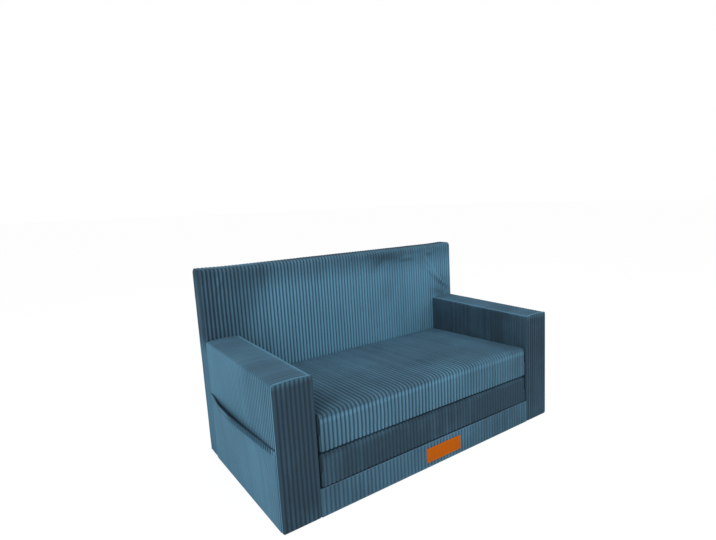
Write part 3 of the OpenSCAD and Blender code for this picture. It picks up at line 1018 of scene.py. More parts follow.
@dataclass
class Arm:
    """An arm: a wrap over the top and both sides, a front panel, a rear lining and a seam roll."""

    side: Side
    corner: float = 0.009
    crown: float = 0.003
    foot: float = 0.006
    pitch: float = 0.0104
    front_roll: float = 0.0026
    lining_roll: float = 0.0003
    seam_in: float = 0.0012

    def node(self, part: str) -> str:
        """The name of a node of this arm."""
        return f"{self.side.word}_arm_{part}"

    def top(self, s: Array, width: float, high: float) -> Array:
        """The height of the arm's outline.

        Args:
            s: Distances from the outer face.
            width: The arm's width.
            high: The arm's height.

        Returns:
            The heights.
        """
        radius = ((width / 2) ** 2 + self.crown**2) / (2 * self.crown)
        arc = high - radius + np.sqrt(radius**2 - (s - width / 2) ** 2)
        return np.minimum(arc, high - bulge(self.corner, np.minimum(s, width - s)))

    def x(self, s: Array) -> Array:
        """The place along X of distances from the outer face."""
        return self.side.outer(node_box(self.node("wrap"))) - self.side.value * s

    def wrap(self) -> None:
        """Build the wrap."""
        low, high = node_box(self.node("wrap"))
        width, base = high[0] - low[0], low[2]
        s = half_turn(width, 44)
        arch = self.top(s, width, high[2])
        heel = base + self.foot * (1 - np.cos(np.linspace(0, math.pi / 2, 7)))
        rise = np.concatenate([heel, np.linspace(base + 0.014, arch[0], 28)])[:-1]
        ring = np.concatenate([coords(0.0, rise), coords(s, arch), coords(width, rise[::-1])])
        y = spaced(low[1], high[1], RIB_STEP)
        inwards = np.where(ring[:, 0] < width / 2, 1, -1) * bulge(self.foot, ring[:, 1] - base)
        points = coords(self.x(ring[:, 0] + inwards)[None], y[:, None], ring[None, :, 1])
        # Painted light and shade round the arm: the outer side lit, the top darker, a painted highlight along
        # the inner top edge and painted shade down the inner side.
        nap = curve(
            ring[:, 0], (0, 0.80), (0.0004, 0.72), (0.003, 0.42), (0.0065, 0.34), (0.05, 0.32),
            (width - 0.010, 0.36), (width - 0.005, 0.85), (width - 0.0015, 0.16), (width, 0.09),
        )
        near, far = node_box(f"{self.side.word}_pocket_panel")
        # Painted shade on the outer face behind the pocket's cloth.
        behind = (ring[:, 0] < 0.001) & (np.abs(ring[:, 1] - 0.10) < 0.093)
        behind = behind & ((y > near[1] + 0.003) & (y < far[1] - 0.003))[:, None]
        # Painted shade in the grooves, deeper on the front half of the outer side.
        shade = curve(ring[:, 0], (0, 0.0), (0.004, 0.4), (0.075, 0.4), (width, 0.1))
        shade = np.where(ring[:, 0] < 0.004, 0.25 + 0.7 * smooth(-y, -0.10, 0.18)[:, None], shade)
        piece = Wrap(y, points).build(self.node("cover"), np.where(behind, 0.1, nap), shade)
        ribbed(piece, self.node("wrap"), Depth=0.0016, Pitch=self.pitch, Seed=11 + self.side.value)

    def end(self, part: str, name: str, roll: float) -> Piece:
        """Make the mesh of the front panel or the rear lining.

        Args:
            part: The node's part.
            name: The piece's name.
            roll: The radius of its edge.

        Returns:
            The piece.
        """
        low, high = node_box(self.node(part))
        width = high[0] - low[0]
        s = spaced(0, width, RIB_STEP)
        foot = low[2] + bulge(self.foot, np.minimum(s, width - s))

        def nap(u: Array, w: Array) -> Array:
            """Painted light and shade: dark, but lighter at the top and the foot, and darkest, with painted
            shade, at the inner edge.
            """
            lit = 0.02 + 0.28 * smooth(w, 0.325, 0.343) + 0.08 * (1 - smooth(w, 0.02, 0.16))
            return lit - 0.5 * smooth(u, width - 0.005, width)

        panel = Panel(s, foot, self.top(s, width, high[2]), high[1] - low[1], roll)
        return panel.build(self.node(name), lambda u, w, out: coords(self.x(u), low[1] - out, w), nap, 0.95)

    def seam_roll(self) -> None:
        """Build the seam roll round the front panel."""
        low, high = node_box(self.node("front_panel"))
        width, heel = high[0] - low[0], low[2] + self.foot
        s = half_turn(width, 60)
        run = np.concatenate([[[0, heel]], coords(s, self.top(s, width, high[2])), [[width, heel]]])
        line = coords(self.x(run[:, 0]), high[1] - self.seam_in, run[:, 1])
        # Painted light on the roll, with painted shade towards the inner edge.
        nap = 0.75 - 0.75 * smooth(run[:, 0], width - 0.006, width)
        roll = line_object(self.node("seam_roll"), [line], nap=nap)
        settle(WELT.bake(roll, CORDUROY), "shell", Slot.CORDUROY)

    def build(self) -> None:
        """Build the arm."""
        self.wrap()
        front = self.end("front_panel", "front", self.front_roll)
        ribbed(front, self.node("front_panel"), Pitch=self.pitch, Seed=5 + self.side.value)
        node = self.node("rear_lining")
        lining = self.end("rear_lining", "lining", self.lining_roll)
        settle(lining, "shell", Slot.LINING, node, finish=LINING)
        self.node("cover")
        self.seam_roll()
        foam_core(self.node("foam"), "shell")


@dataclass
class Pocket:
    """A side pocket: a gathered cloth on the arm's outer face, and its hem."""

    side: Side
    lap: float = 0.008
    gape: float = 0.0115
    thickness: float = 0.002
    folded: float = 0.001
    pleat: float = 0.0022
    sag: float = 0.05
    seam: float = 0.004
    hem_seam: float = 0.0025
    slack: float = 0.012

    def node(self, part: str) -> str:
        """The name of a node of this pocket."""
        return f"{self.side.word}_pocket_{part}"

    def x(self, out: Array | float) -> Array:
        """The place along X of distances from the arm's outer face."""
        return self.side.outer(node_box(f"{self.side.word}_arm_wrap")) + self.side.value * out

    def shares(self, y: Array, z: Array) -> tuple[Array, Array]:
        """The shares of the way from the rear to the front, and from the foot to the mouth."""
        low, high = node_box(self.node("panel"))
        return (high[1] - y) / (high[1] - low[1]), np.clip((z - low[2]) / (high[2] - low[2]), 0, 1)

    def stand(self, y: Array, z: Array) -> Array:
        """How far the cloth stands off the arm.

        Args:
            y: Places along Y.
            z: Heights.

        Returns:
            The distances.
        """
        low, high = node_box(self.node("panel"))
        share = np.clip((high[1] - y - self.lap) / (high[1] - low[1] - 2 * self.lap), 0, 1)
        v = self.shares(y, z)[1]
        swell = self.gape * np.sin(math.pi * share**0.68) * smooth(share, -0.1, 0.22) * v**1.5
        gather = smooth(share, 0.30, 0.50) * (1 - smooth(share, 0.96, 1.0)) * smooth(v, 0.90, 1.0)
        return swell + self.pleat * gather * (1 + np.sin(2 * math.pi * self.across(y, z) / RIB_PITCH)) / 2

    def across(self, y: Array, z: Array) -> Array:
        """Where a point lies across the ribs, which crowd together in the gathers."""
        share, v = self.shares(y, z)
        return y - 0.02 * v**6 * smooth(share, 0.3, 0.95)

    def cloth(self, part: str, thickness: float, depth: float, *panel_sizes: float) -> None:
        """Build the panel or the hem.

        Args:
            part: "panel" or "hem".
            thickness: The cloth's thickness.
            depth: The depth of its grooves.
            *panel_sizes: Its rows' step, and how wide its edges stay smooth.
        """
        low, high = node_box(self.node(part))
        step, calm = panel_sizes
        y = spaced(low[1], high[1], RIB_STEP)
        panel = Panel.oblong(
            y, low[2], high[2], thickness, thickness * 0.45, step, 0.0003, calm=calm, curved=True,
        )

        def place(u: Array, w: Array, out: Array) -> Array:
            """Carry a point of the cloth to the arm's side, where its mouth sags a little."""
            stand = self.stand(u, w)
            return coords(self.x(stand + thickness + out), u, w - self.sag * stand)

        def gathered(u: Array) -> Array:
            """From 0 in the smooth rear part to 1 in the gathered front part."""
            return smooth(self.shares(u, high[2])[0], 0.30, 0.5)

        def shade(u: Array, w: Array) -> Array:
            """Deep painted shade in the grooves of the gathered ribs at the mouth, light painted shade
            elsewhere.
            """
            return 0.22 + 1.3 * gathered(u) * smooth(w, 0.180, 0.192)

        def nap(u: Array, w: Array) -> Array:
            """Painted light: even on the panel; on the hem, lighter on the gathered front just below its top,
            and painted shade along its upper edge.
            """
            hem_light = 0.35 * gathered(u) * smooth(w, high[2] - 0.012, high[2] - 0.006)
            return 0.76 + (hem_light - 0.9 * smooth(w, high[2] - 0.0022, high[2] - 0.0004)) * (part == "hem")

        piece = panel.build(f"{self.node(part)}_cloth", place, nap, shade)
        found = np.empty(len(piece.data.vertices) * 3)
        piece.data.vertices.foreach_get("co", found)
        across = self.across(found[1::3], found[2::3])
        piece.data.attributes["across"].data.foreach_set("value", across.astype(np.float32))
        RIBS.bake(piece, CORDUROY, Depth=depth, Unevenness=0.0004, Seed=21 + self.side.value)
        settle(piece, "shell", Slot.CORDUROY, self.node(part))

    def stitches(self) -> None:
        """Build the stitch rows of the hem and the two side laps."""
        low, high = node_box(self.node("panel"))
        bottom, top = (corner[2] for corner in node_box(self.node("hem")))
        edges = (low[1] + self.seam, high[1] - self.seam)
        y, row = np.linspace(*edges, 160), bottom + self.hem_seam
        stand = self.stand(y, row)
        up = np.linspace(low[2] + self.seam, top - 0.002, 60)
        hem = self.thickness + self.folded + HAIR
        rows = [coords(self.x(stand + hem), y, row - self.sag * stand)]
        rows += [coords(self.x(self.thickness + HAIR), edge, up) for edge in edges]
        settle(STITCHES.bake(line_object(self.node("stitches"), rows), THREAD), "shell", Slot.CORDUROY)

    def build(self) -> None:
        """Build the pocket."""
        self.cloth("panel", self.thickness, 0.0009, 0.007, 0.004)
        self.cloth("hem", self.thickness + self.folded, 0.0016, 0.002, 0.0012)
        self.stitches()


@dataclass
class Zip:
    """A zip: its tape, its teeth, and its slider's metal.

    axis is the direction that it runs in, and out the one that it faces.
    """

    name: str
    axis: int
    out: int
    body: str
    cover: str

    def build(self) -> None:
        """Build the zip."""
        low, high = node_box(f"{self.name}_tape")
        near, far = node_box(f"{self.name}_coil")
        u = spaced(low[self.axis], high[self.axis], 0.004, 0.0004)
        flat = Panel.oblong(u, low[2], high[2], high[self.out] - low[self.out], 0.0003, 0.004, 0.0003)
        tape = flat.build(f"{self.name}_tape_cloth", facing((low, high), self.axis, self.out), 0.5)
        settle(tape, self.body, Slot.ZIP_TAPE, f"{self.name}_tape", finish=TAPE)
        ends = np.stack([(near + far) / 2] * 2)
        ends[:, self.axis] = near[self.axis], far[self.axis]
        ends[:, self.out] = near[self.out] + 0.0007
        teeth = TEETH.bake(line_object(f"{self.name}_teeth", [ends]), COIL)
        settle(teeth, self.body, Slot.ZIP_COIL, f"{self.name}_coil")
        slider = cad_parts[f"{self.name}_slider"]
        slider.data.materials.clear()
        slider.data.materials.append(METAL.build())


# Creases in the back's front cloth: each one's centre, angle in degrees, length, width and depth. They are
# pressed into its surface, and their slopes get painted light and shade.
CREASES = (
    (0.375, 0.425, -38, 0.055, 0.008, 0.0042), (0.405, 0.398, -30, 0.040, 0.007, 0.0036),
    (0.345, 0.470, -52, 0.035, 0.007, 0.0025), (0.235, 0.508, -8, 0.050, 0.007, 0.0031),
    (0.335, 0.515, 10, 0.030, 0.006, 0.0022), (0.420, 0.350, -20, 0.022, 0.006, 0.0022),
    (-0.400, 0.500, 62, 0.030, 0.008, 0.0020), (-0.120, 0.455, 80, 0.050, 0.010, 0.0013),
)
# Dark patches on the back's front cloth: painted shade along the top edge and in a crease near the right
# corner, the painted shadow above the right arm, and two fainter dark patches.
DARK_PATCHES = (
    (0.155, 0.519, -3, 0.095, 0.019, 0.34), (0.120, 0.496, 30, 0.030, 0.013, 0.26),
    (0.405, 0.408, -36, 0.035, 0.008, 0.40), (0.385, 0.362, -15, 0.040, 0.012, 0.35),
    (-0.300, 0.470, 70, 0.070, 0.030, 0.15), (0.150, 0.400, 60, 0.080, 0.030, 0.12),
)


def patches(x: Array, z: Array, rows: Sequence[tuple[float, ...]], curl: float = 0.0) -> Array:
    """Long soft patches on the back rest's front cloth.

    Args:
        x: Places along X.
        z: Heights.
        rows: Each patch's centre, its angle in degrees, its length, width and strength.
        curl: How far a patch turns the other way along its sides.

    Returns:
        The strength at each place.
    """
    total = np.zeros(np.broadcast(x, z).shape)
    for cx, cz, angle, length, width, strength in rows:
        cos, sin = math.cos(math.radians(angle)), math.sin(math.radians(angle))
        along = ((x - cx) * cos + (z - cz) * sin) / length
        off = ((z - cz) * cos - (x - cx) * sin) / width
        total += strength * np.exp(-(along**2) - off**2) * (1 - curl * off**2)
    return total


@dataclass
class Back:
    """The back rest: a wrap from front to rear over the top, two end panels and the zip."""

    corner: float = 0.011
    ease: float = 0.008
    sink: float = 0.0039
    spread: float = 0.03
    seam: float = 0.003

    def outline(self, s: Array, depth: float, high: float) -> Array:
        """The height of the back's outline at distances s from its front face."""
        return high - bulge(self.corner, np.minimum(s, depth - s))

    def section(self, depth: float, base: float, peak: float, mid: float) -> Array:
        """The plain section, up the front, over the top and down the rear past the zip.

        Args:
            depth: The back's depth.
            base: The height of its lower edge.
            peak: The height of its top.
            mid: The height of the zip.

        Returns:
            Points (distance from the front, height).
        """
        s = half_turn(depth, 30)
        arch = self.outline(s, depth, peak)
        front = np.linspace(base, arch[0], 48)[:-1]
        slot = [mid + off for off in (SLOT_HALF, SLOT_HALF - SLOT_LIP, 0, SLOT_LIP - SLOT_HALF, -SLOT_HALF)]
        rear = [*np.linspace(arch[0], slot[0], 34)[1:-1], *slot, *np.linspace(slot[-1], base, 5)[1:]]
        return np.concatenate([coords(0.0, front), coords(s, arch), coords(depth, rear)])

    @staticmethod
    def tones(wide: Array, tall: Array, d: Array, depth: float) -> tuple[Array, Array]:
        """The painted light and the painted groove shade of the wrap.

        Args:
            wide: Places along X, as a column.
            tall: Heights of the section's points, as a row.
            d: The points' distances from the front face, as a row.
            depth: The back's depth.

        Returns:
            The painted light and shade, and how much painted shade the grooves get.
        """
        # Painted light and shade on the creases' slopes, lighter on their upper side and darker on their
        # lower side.
        fold = patches(wide, tall, CREASES) - patches(wide, tall + 0.007, CREASES)
        # Painted shade in a band along the top of the front face, except at the far left.
        hem = smooth(wide, -0.40, -0.28) * smooth(tall, 0.44, 0.53)
        # Painted shade low on the right, by the right arm.
        low_right = smooth(wide, 0.30, 0.44) * (1 - smooth(tall, 0.36, 0.46))
        # Painted light on the front face: darker towards the left, less under the painted shade and the dark
        # patches.
        lit = 0.18 + 0.82 * smooth(wide, -0.44, -0.20) - 0.3 * low_right
        lit = lit - 0.55 * hem + 110 * fold - patches(wide, tall, DARK_PATCHES)
        # Painted light on the top: lighter at the left end, darkest from the middle on, a little lighter
        # towards the right.
        top = 0.55 - 0.5 * smooth(wide, -0.34, -0.12) + 0.15 * smooth(wide, 0.20, 0.40)
        # Painted shade in the grooves of the front face: deepest at the left, easing towards the right.
        dark = 1.6 - 0.6 * smooth(wide, -0.43, -0.30) - 0.45 * smooth(wide, -0.2, 0.25)
        fore = d < 0.012
        # The rear gets an even painted light of 0.5, and the grooves off the front face 0.8 painted shade.
        return np.where(fore, lit, np.where(d > depth - 0.012, 0.5, top)), np.where(fore, dark, 0.8)

    def wrap(self) -> None:
        """Build the wrap with its zip opening."""
        low, high = node_box("back_wrap")
        near, far = node_box("back_zip_coil")
        depth, base, peak = high[1] - low[1], low[2], high[2]
        mid, reach = (near[2] + far[2]) / 2, far[0] + SLOT_SPARE
        ring = self.section(depth, base, peak, mid)
        d, tall = ring.T[:, None]
        x = slotted(spaced(low[0], high[0], RIB_STEP), -reach, reach)
        wide = x[:, None]
        seam = low[0] - node_box("left_back_end_panel")[0][0]
        inset = bulge(self.ease, x[-1] + seam - np.abs(wide))
        fit = low[1] + inset + d * (depth - 2 * inset) / depth
        points = coords(wide, fit, tall - inset * (tall - base) / (peak - base))
        weight = np.where(ring[:, 0] > depth - 0.001, 0.4, 1.0)
        points = Wrap(x, points).stuffed(Stuffing(0.0022), weight, hop=3).points
        y = points[..., 1] - np.where(d < 0.002, patches(wide, tall, CREASES, 1.2), 0)
        behind = d > depth - 1e-6
        gap = np.maximum(np.abs(wide) - reach, np.abs(tall - mid) - SLOT_HALF)
        rear = low[1] + depth
        flat = rear + (y - rear) * smooth(gap, 0.0, self.spread)
        y = np.where(behind & (gap < self.spread), flat, y)
        points[..., 1] = np.where(behind & (gap < -SLIVER), high[1] - self.sink, y)
        fade = np.where(behind, smooth(gap, SLOT_LIP, SLOT_CALM), 1.0)
        piece = Wrap(x, points).build("back_cover", *self.tones(wide, tall, d, depth), fade)
        ribbed(piece, "back_wrap", Pitch=0.0105, Seed=31)

    def end(self, side: Side, deep: float) -> None:
        """Build an end panel and its seam roll.

        Args:
            side: The side.
            deep: How much painted shade the panel gets above the arm.
        """
        node = f"{side.word}_back_end_panel"
        low, high = node_box(node)
        depth, thick = high[1] - low[1], high[0] - low[0]
        cut = bulge(self.ease, thick)
        s = spaced(cut, depth - cut, RIB_STEP)
        top = self.outline((s - cut) * depth / (depth - 2 * cut), depth, high[2]) - cut
        outer = side.outer((low, high))

        def nap(u: Array, w: Array) -> Array:
            """Painted shade above the arm, less of it behind the front edge."""
            return 0.62 + (0.25 * smooth(u, 0.012, 0.036) - deep) * smooth(w, 0.30, 0.36)

        panel = Panel(s, np.full_like(s, low[2]), top, thick, self.ease, 0.012, start=cut)
        piece = panel.build(
            f"{side.word}_back_end", lambda u, w, out: coords(outer + side.value * out, low[1] + u, w),
            nap, 0.5,
        )
        ribbed(piece, node, Seed=35 + side.value)
        run, foot = half_turn(depth, 60), low[2] + 0.002
        arch = coords(cut + run * (depth - 2 * cut) / depth, self.outline(run, depth, high[2]) - cut)
        loop = np.concatenate([[[cut, foot]], arch, [[depth - cut, foot]]])
        line = coords(outer - side.value * thick, low[1] + loop[:, 0], loop[:, 1])
        # The seam roll gets a low painted light, which keeps it dark.
        roll = line_object(f"{side.word}_back_seam_roll", [line], nap=0.2)
        settle(WELT.bake(roll, CORDUROY, Radius=0.001), "shell", Slot.CORDUROY)

    def stitches(self) -> None:
        """Build the stitch rows above and below the zip."""
        near, far = node_box("back_zip_coil")
        rear = node_box("back_wrap")[1][1] + HAIR
        x, mid = np.array([near[0] - self.seam, far[0] + self.seam]), (near[2] + far[2]) / 2
        rows = [coords(x, rear, mid + way * (SLOT_HALF + self.seam)) for way in (-1, 1)]
        settle(STITCHES.bake(line_object("back_zip_stitches", rows), THREAD), "shell", Slot.CORDUROY)

    def build(self) -> None:
        """Build the back rest."""
        self.wrap()
        self.end(Side.LEFT, 0.67)
        self.end(Side.RIGHT, 0.35)
        self.stitches()
        foam_core("back_foam", "shell")


@dataclass
class Base:
    """The base under the pads: its front panel, its deck, the sole and the bare label."""

    label_corner: float = 0.0025
    label_seam: float = 0.003

    def front(self) -> None:
        """Build the front panel."""
        low, high = node_box("base_front_panel")
        x = spaced(low[0], high[0], RIB_STEP)
        panel = Panel.oblong(x, low[2], high[2], high[1] - low[1], 0.0012, 0.008, 0.0003)

        def nap(u: Array, w: Array) -> Array:
            """Darker towards both ends."""
            return 0.29 + 0.20 * smooth(u, -0.34, -0.04) - 0.18 * smooth(u, 0.06, 0.20)

        piece = panel.build("base_front", facing((low, high), 0, 1, -1), nap, 0.6)
        ribbed(piece, "base_front_panel", Seed=41)

    def flat(self, node: str, name: str, finish: Finish, slot: Slot, up: bool, inset: float = 0.0) -> None:
        """Build a flat cloth that faces up or down.

        Args:
            node: The node that it stands for.
            name: The piece's name.
            finish: Its finish.
            slot: Its slot.
            up: Whether it faces up.
            inset: How far its edge stays in from the node's.
        """
        low, high = node_box(node)
        margin = np.array([inset, inset, 0.0])
        low, high = low + margin, high - margin
        x = spaced(low[0], high[0], CLOTH_STEP, 0.0004)
        panel = Panel.oblong(x, low[1], high[1], high[2] - low[2], 0.0004, CLOTH_STEP)

        def place(u: Array, w: Array, out: Array) -> Array:
            """Carry a point of the cloth to its place, with shallow ripples."""
            ripple = 0.0002 * np.sin(u * 57 + 3 * np.sin(w * 23)) * np.sin(w * 41 + 2)
            return coords(u, w, np.clip(high[2] + out + ripple if up else low[2] - out, low[2], high[2]))

        piece = settle(panel.build(name, place, 0.5), "shell", slot, node, finish=finish)

    def label(self) -> None:
        """Build the bare leather label and its stitches."""
        low, high = node_box("label_patch")
        x = spaced(low[0], high[0], 0.003, 0.0001)
        cut = bulge(self.label_corner, np.minimum(x - low[0], high[0] - x))
        panel = Panel(x, low[2] + cut, high[2] - cut, high[1] - low[1], 0.0007, 0.003, 0.0001)

        def place(u: Array, w: Array, out: Array) -> Array:
            """Carry a point of the label to its place, slightly waved."""
            return coords(u, low[1] - out + HAIR * (1 - np.cos(u * 90)), w)

        piece = settle(panel.build("label", place, 0.5), "shell", Slot.LABEL, "label_patch", finish=LEATHER)
        (x0, _, z0), (x1, _, z1) = low + self.label_seam, high - self.label_seam
        line = coords([x0, x1, x1, x0], low[1] + HAIR, [z0, z0, z1, z1])
        stitches = line_object("label_stitches", [line], closed=True)
        STITCHES.bake(stitches, LABEL_THREAD, Step=0.0034, Length=0.0024, Width=0.0007)
        settle(stitches, "shell", Slot.LABEL)

    def build(self) -> None:
        """Build the base."""
        self.front()
        foam_core("base_foam", "shell")
        self.flat("base_deck", "deck_cloth", LINING, Slot.LINING, up=True)
        self.flat("sole_cloth", "sole_sheet", SOLE, Slot.SOLE, up=False, inset=0.005)
        self.label()


@dataclass
class Pad:
    """A seat pad: a stuffed cover, two end panels, and its zip in the right one."""

    name: str
    underside: float
    height: float
    lift: float
    fall: float
    crown_low: float
    crown_top: float
    # Painted light on the front face and on the top.
    front_nap: float
    top_nap: float
    top_share: float
    front_shade: float
    # Painted light and shade shifted at these places along X, on the front face and along the top's front
    # edge.
    front_lie: tuple[float, ...]
    edge_lie: tuple[float, ...] = (0.0,) * 7
    lie_places: tuple[float, ...] = (-0.34, -0.28, -0.18, -0.05, 0.08, 0.20, 0.30)
    front: float = -0.2600
    depth: float = 0.4465
    width: float = 0.702
    corner_top: float = 0.009
    corner_low: float = 0.003
    end_round: float = 0.012
    gusset: float = 0.006
    draw: float = 0.002
    swell: float = 0.0015
    thickness: float = 0.001
    tuck: float = 0.004

    @property
    def seam(self) -> float:
        """The place along X of the right end seam."""
        return self.width / 2 - self.gusset

    @staticmethod
    def crown(s: Array) -> Array:
        """The share of a crown at a share s of the way across."""
        return 1 - np.abs(2 * s - 1) ** 2.5

    def section(self) -> Array:
        """Draw the plain section, from the rear's lower corner round over the top.

        Returns:
            Points (distance from the front, height).
        """
        d, h, t, l = self.depth, self.height, self.corner_top, self.corner_low
        corners = (
            (d - l, l, l, -90, 6), (d - t, h - t, t, 0, 8), (t, h - t, t, 90, 10), (l, l, l, 180, 6),
        )
        parts: list[Array] = []
        for y, z, r, start, count in corners:
            a = np.radians(np.linspace(start, start + 90, count))
            parts.append(coords(y + r * np.cos(a), z + r * np.sin(a)))
        run: list[Array] = []
        for part, after, count in zip(parts, parts[1:] + parts[:1], (8, 40, 12, 22)):
            way = np.linspace(0, 1, count + 1)[1:-1, None]
            run += [part, part[-1] + (after[0] - part[-1]) * way]
        return np.concatenate(run)

    def carry(self, x: Array, p: Array) -> Array:
        """Carry section points to their places.

        Args:
            x: Places along X.
            p: Points of the section.

        Returns:
            A ring of points for each place.
        """
        x = x[:, None]
        e = bulge(self.end_round, self.width / 2 - np.abs(x))
        e_low = e * self.corner_low / self.end_round
        sy = (e + p[:, 0] * (self.depth - 2 * e) / self.depth) / self.depth
        sz = (e_low + p[:, 1] * (self.height - e - e_low) / self.height) / self.height
        cx = self.crown(x / self.width + 0.5)
        low = self.underside + self.lift * (1 - sy) + self.crown_low * cx * self.crown(sy)
        high = self.underside + self.height + self.fall * (1 - sy) + self.crown_top * cx * self.crown(sy)
        out = (self.draw - self.swell * np.sin(math.pi * sz)) * cx * (1 - sy)
        return coords(x, self.front + sy * self.depth + out, low + (high - low) * sz)

    def cover(self) -> Array:
        """Build the stuffed cover.

        Returns:
            Its rings of points.
        """
        x = spaced(-self.seam, self.seam, RIB_STEP)
        p = self.section()
        up = p[:, 1] / self.height
        weight = np.where(up > 0.97, self.top_share, np.where(up < 0.1, 0.05, 0.35))
        wrap = Wrap(x, self.carry(x, p)).stuffed(Stuffing(0.004), weight)
        fore = 1 - smooth(p[:, 0], 0.0, 0.03)
        face = fore * (1 - smooth(up, 0.85, 0.93))
        rim = (1 - face) * (up > 0.83) * (1 - smooth(p[:, 0], 0.05, 0.14))
        # Painted light: one level on the front face, another on the top, and 0.35 elsewhere.
        nap = face * self.front_nap + (1 - face) * np.where(up > 0.83, self.top_nap, 0.35)
        # A painted highlight along the bend from the front face to the top.
        nap = nap + 0.48 * self.front_nap * face * smooth(up, 0.74, 0.84)
        # Painted light and shade shifted place by place along the front face and along the top's front edge.
        for lit_level, share in ((self.front_lie, face), (self.edge_lie, rim)):
            nap = nap + np.interp(x, self.lie_places, lit_level)[:, None] * share
        # Painted shade in the grooves: as set on the front, easing towards the rear of the top.
        shade = fore * self.front_shade + (1 - fore) * (0.9 - 0.65 * smooth(p[:, 0], 0.05, 0.30))
        # The painted groove shade on the front eases towards the right end.
        groove_shade_eased = 1 - 0.5 * fore * smooth(x, -0.05, 0.33)[:, None]
        piece = wrap.build(f"{self.name}_cover_cloth", nap, shade * groove_shade_eased)
        ribbed(piece, f"{self.name}_cover", self.name, 0.9, Pitch=0.0109, Seed=51 + len(self.name))
        return wrap.points

    def end(self, side: Side, ring: Array) -> None:
        """Build an end panel, which rounds over to the cover's seam, and its seam roll.

        Args:
            side: The side.
            ring: The cover's ring of points at that seam.
        """
        rear, fore = int(ring[:, 1].argmax()), int(ring[:, 1].argmin())
        loop = np.roll(ring, -rear, 0)
        turn = (fore - rear) % len(ring)
        y, window = spaced(ring[fore, 1], ring[rear, 1], RIB_STEP), None
        if side is Side.RIGHT:
            near, far = node_box(f"{self.name}_zip_coil")
            start, stop, mid = near[1] - SLOT_SPARE, far[1] + SLOT_SPARE, (near[2] + far[2]) / 2
            y, window = slotted(y, start, stop), (start, stop, mid - SLOT_HALF, mid + SLOT_HALF)
        lines = np.concatenate([loop[turn:], loop[:1]]), loop[: turn + 1][::-1]
        low, high = (np.interp(y, line[:, 1], line[:, 2]) for line in lines)
        outline = np.array([(y[0], low[0]), *zip(y, high), (y[-1], low[-1])])[::-1]
        panel = Panel(y, low, high, self.thickness, 1e-7, 0.006, 0.0003, window=window)
        inset = bulge(self.end_round, self.gusset)

        def place(u: Array, w: Array, out: Array) -> Array:
            """Carry points of the panel to their places on the rounded end.

            Args:
                u: Places along Y.
                w: Heights.
                out: Distances outwards from the cloth's face.

            Returns:
                The points.
            """
            rise = np.maximum(0, w - np.interp(u, y, low)) * self.end_round / self.corner_low
            run = inset + np.minimum(outline_distance(u, w, outline), rise)
            x = np.maximum(self.width / 2 - self.end_round + rounded(self.end_round, run), self.seam)
            pull = self.draw * self.crown((u - self.front) / self.depth)
            x = x - pull * (x - self.seam) / self.gusset
            if window:
                x = np.where(panel.beyond(u, w) < -SLIVER, self.seam + HAIR, x)
            return coords(side.value * np.where(out < -self.thickness / 2, self.seam - self.tuck, x), u, w)

        def nap(u: Array, w: Array) -> Array:
            """Darker at the front."""
            return 0.25 - 0.5 * smooth(-u, 0.20, 0.25)

        stem = f"{self.name}_{side.word}"
        piece = panel.build(f"{stem}_end", place, nap, 0.6)
        ribbed(piece, f"{stem}_gusset", self.name, 0.9, Depth=0.0016, Unevenness=0.0004, Seed=61 + side.value)
        roll = line_object(f"{stem}_seam_roll", [ring], True, self.front_nap - 0.1)
        settle(WELT.bake(roll, CORDUROY, Radius=0.0008, Step=0.006), self.name, Slot.CORDUROY)

    def build(self) -> None:
        """Build the pad."""
        rings = self.cover()
        self.end(Side.LEFT, rings[0])
        self.end(Side.RIGHT, rings[-1])
        foam_core(f"{self.name}_foam", self.name)


@dataclass
class Hinge:
    """A strip of cloth that joins two bodies, built flat and riding on neither."""

    node: str
    name: str
    under: str
    bodies: tuple[str, str]
    start: tuple[float, float, float]
    end: tuple[float, float, float]

    def build(self) -> None:
        """Build the strip."""
        low, high = node_box(self.node)
        size = high - low
        thin = int(size.argmin())
        along = 3 - thin
        x = spaced(low[0], high[0], CLOTH_STEP, 0.0004)
        sizes = size[thin], 0.0003, 0.0012, 0.0003
        panel = Panel.oblong(x, low[along], high[along], *sizes, curved=True)
        piece = panel.build(self.name, facing((low, high), 0, thin), 0.5)
        settle(piece, "", Slot.LINING, self.node, finish=LINING)
        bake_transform(piece)


# Studio


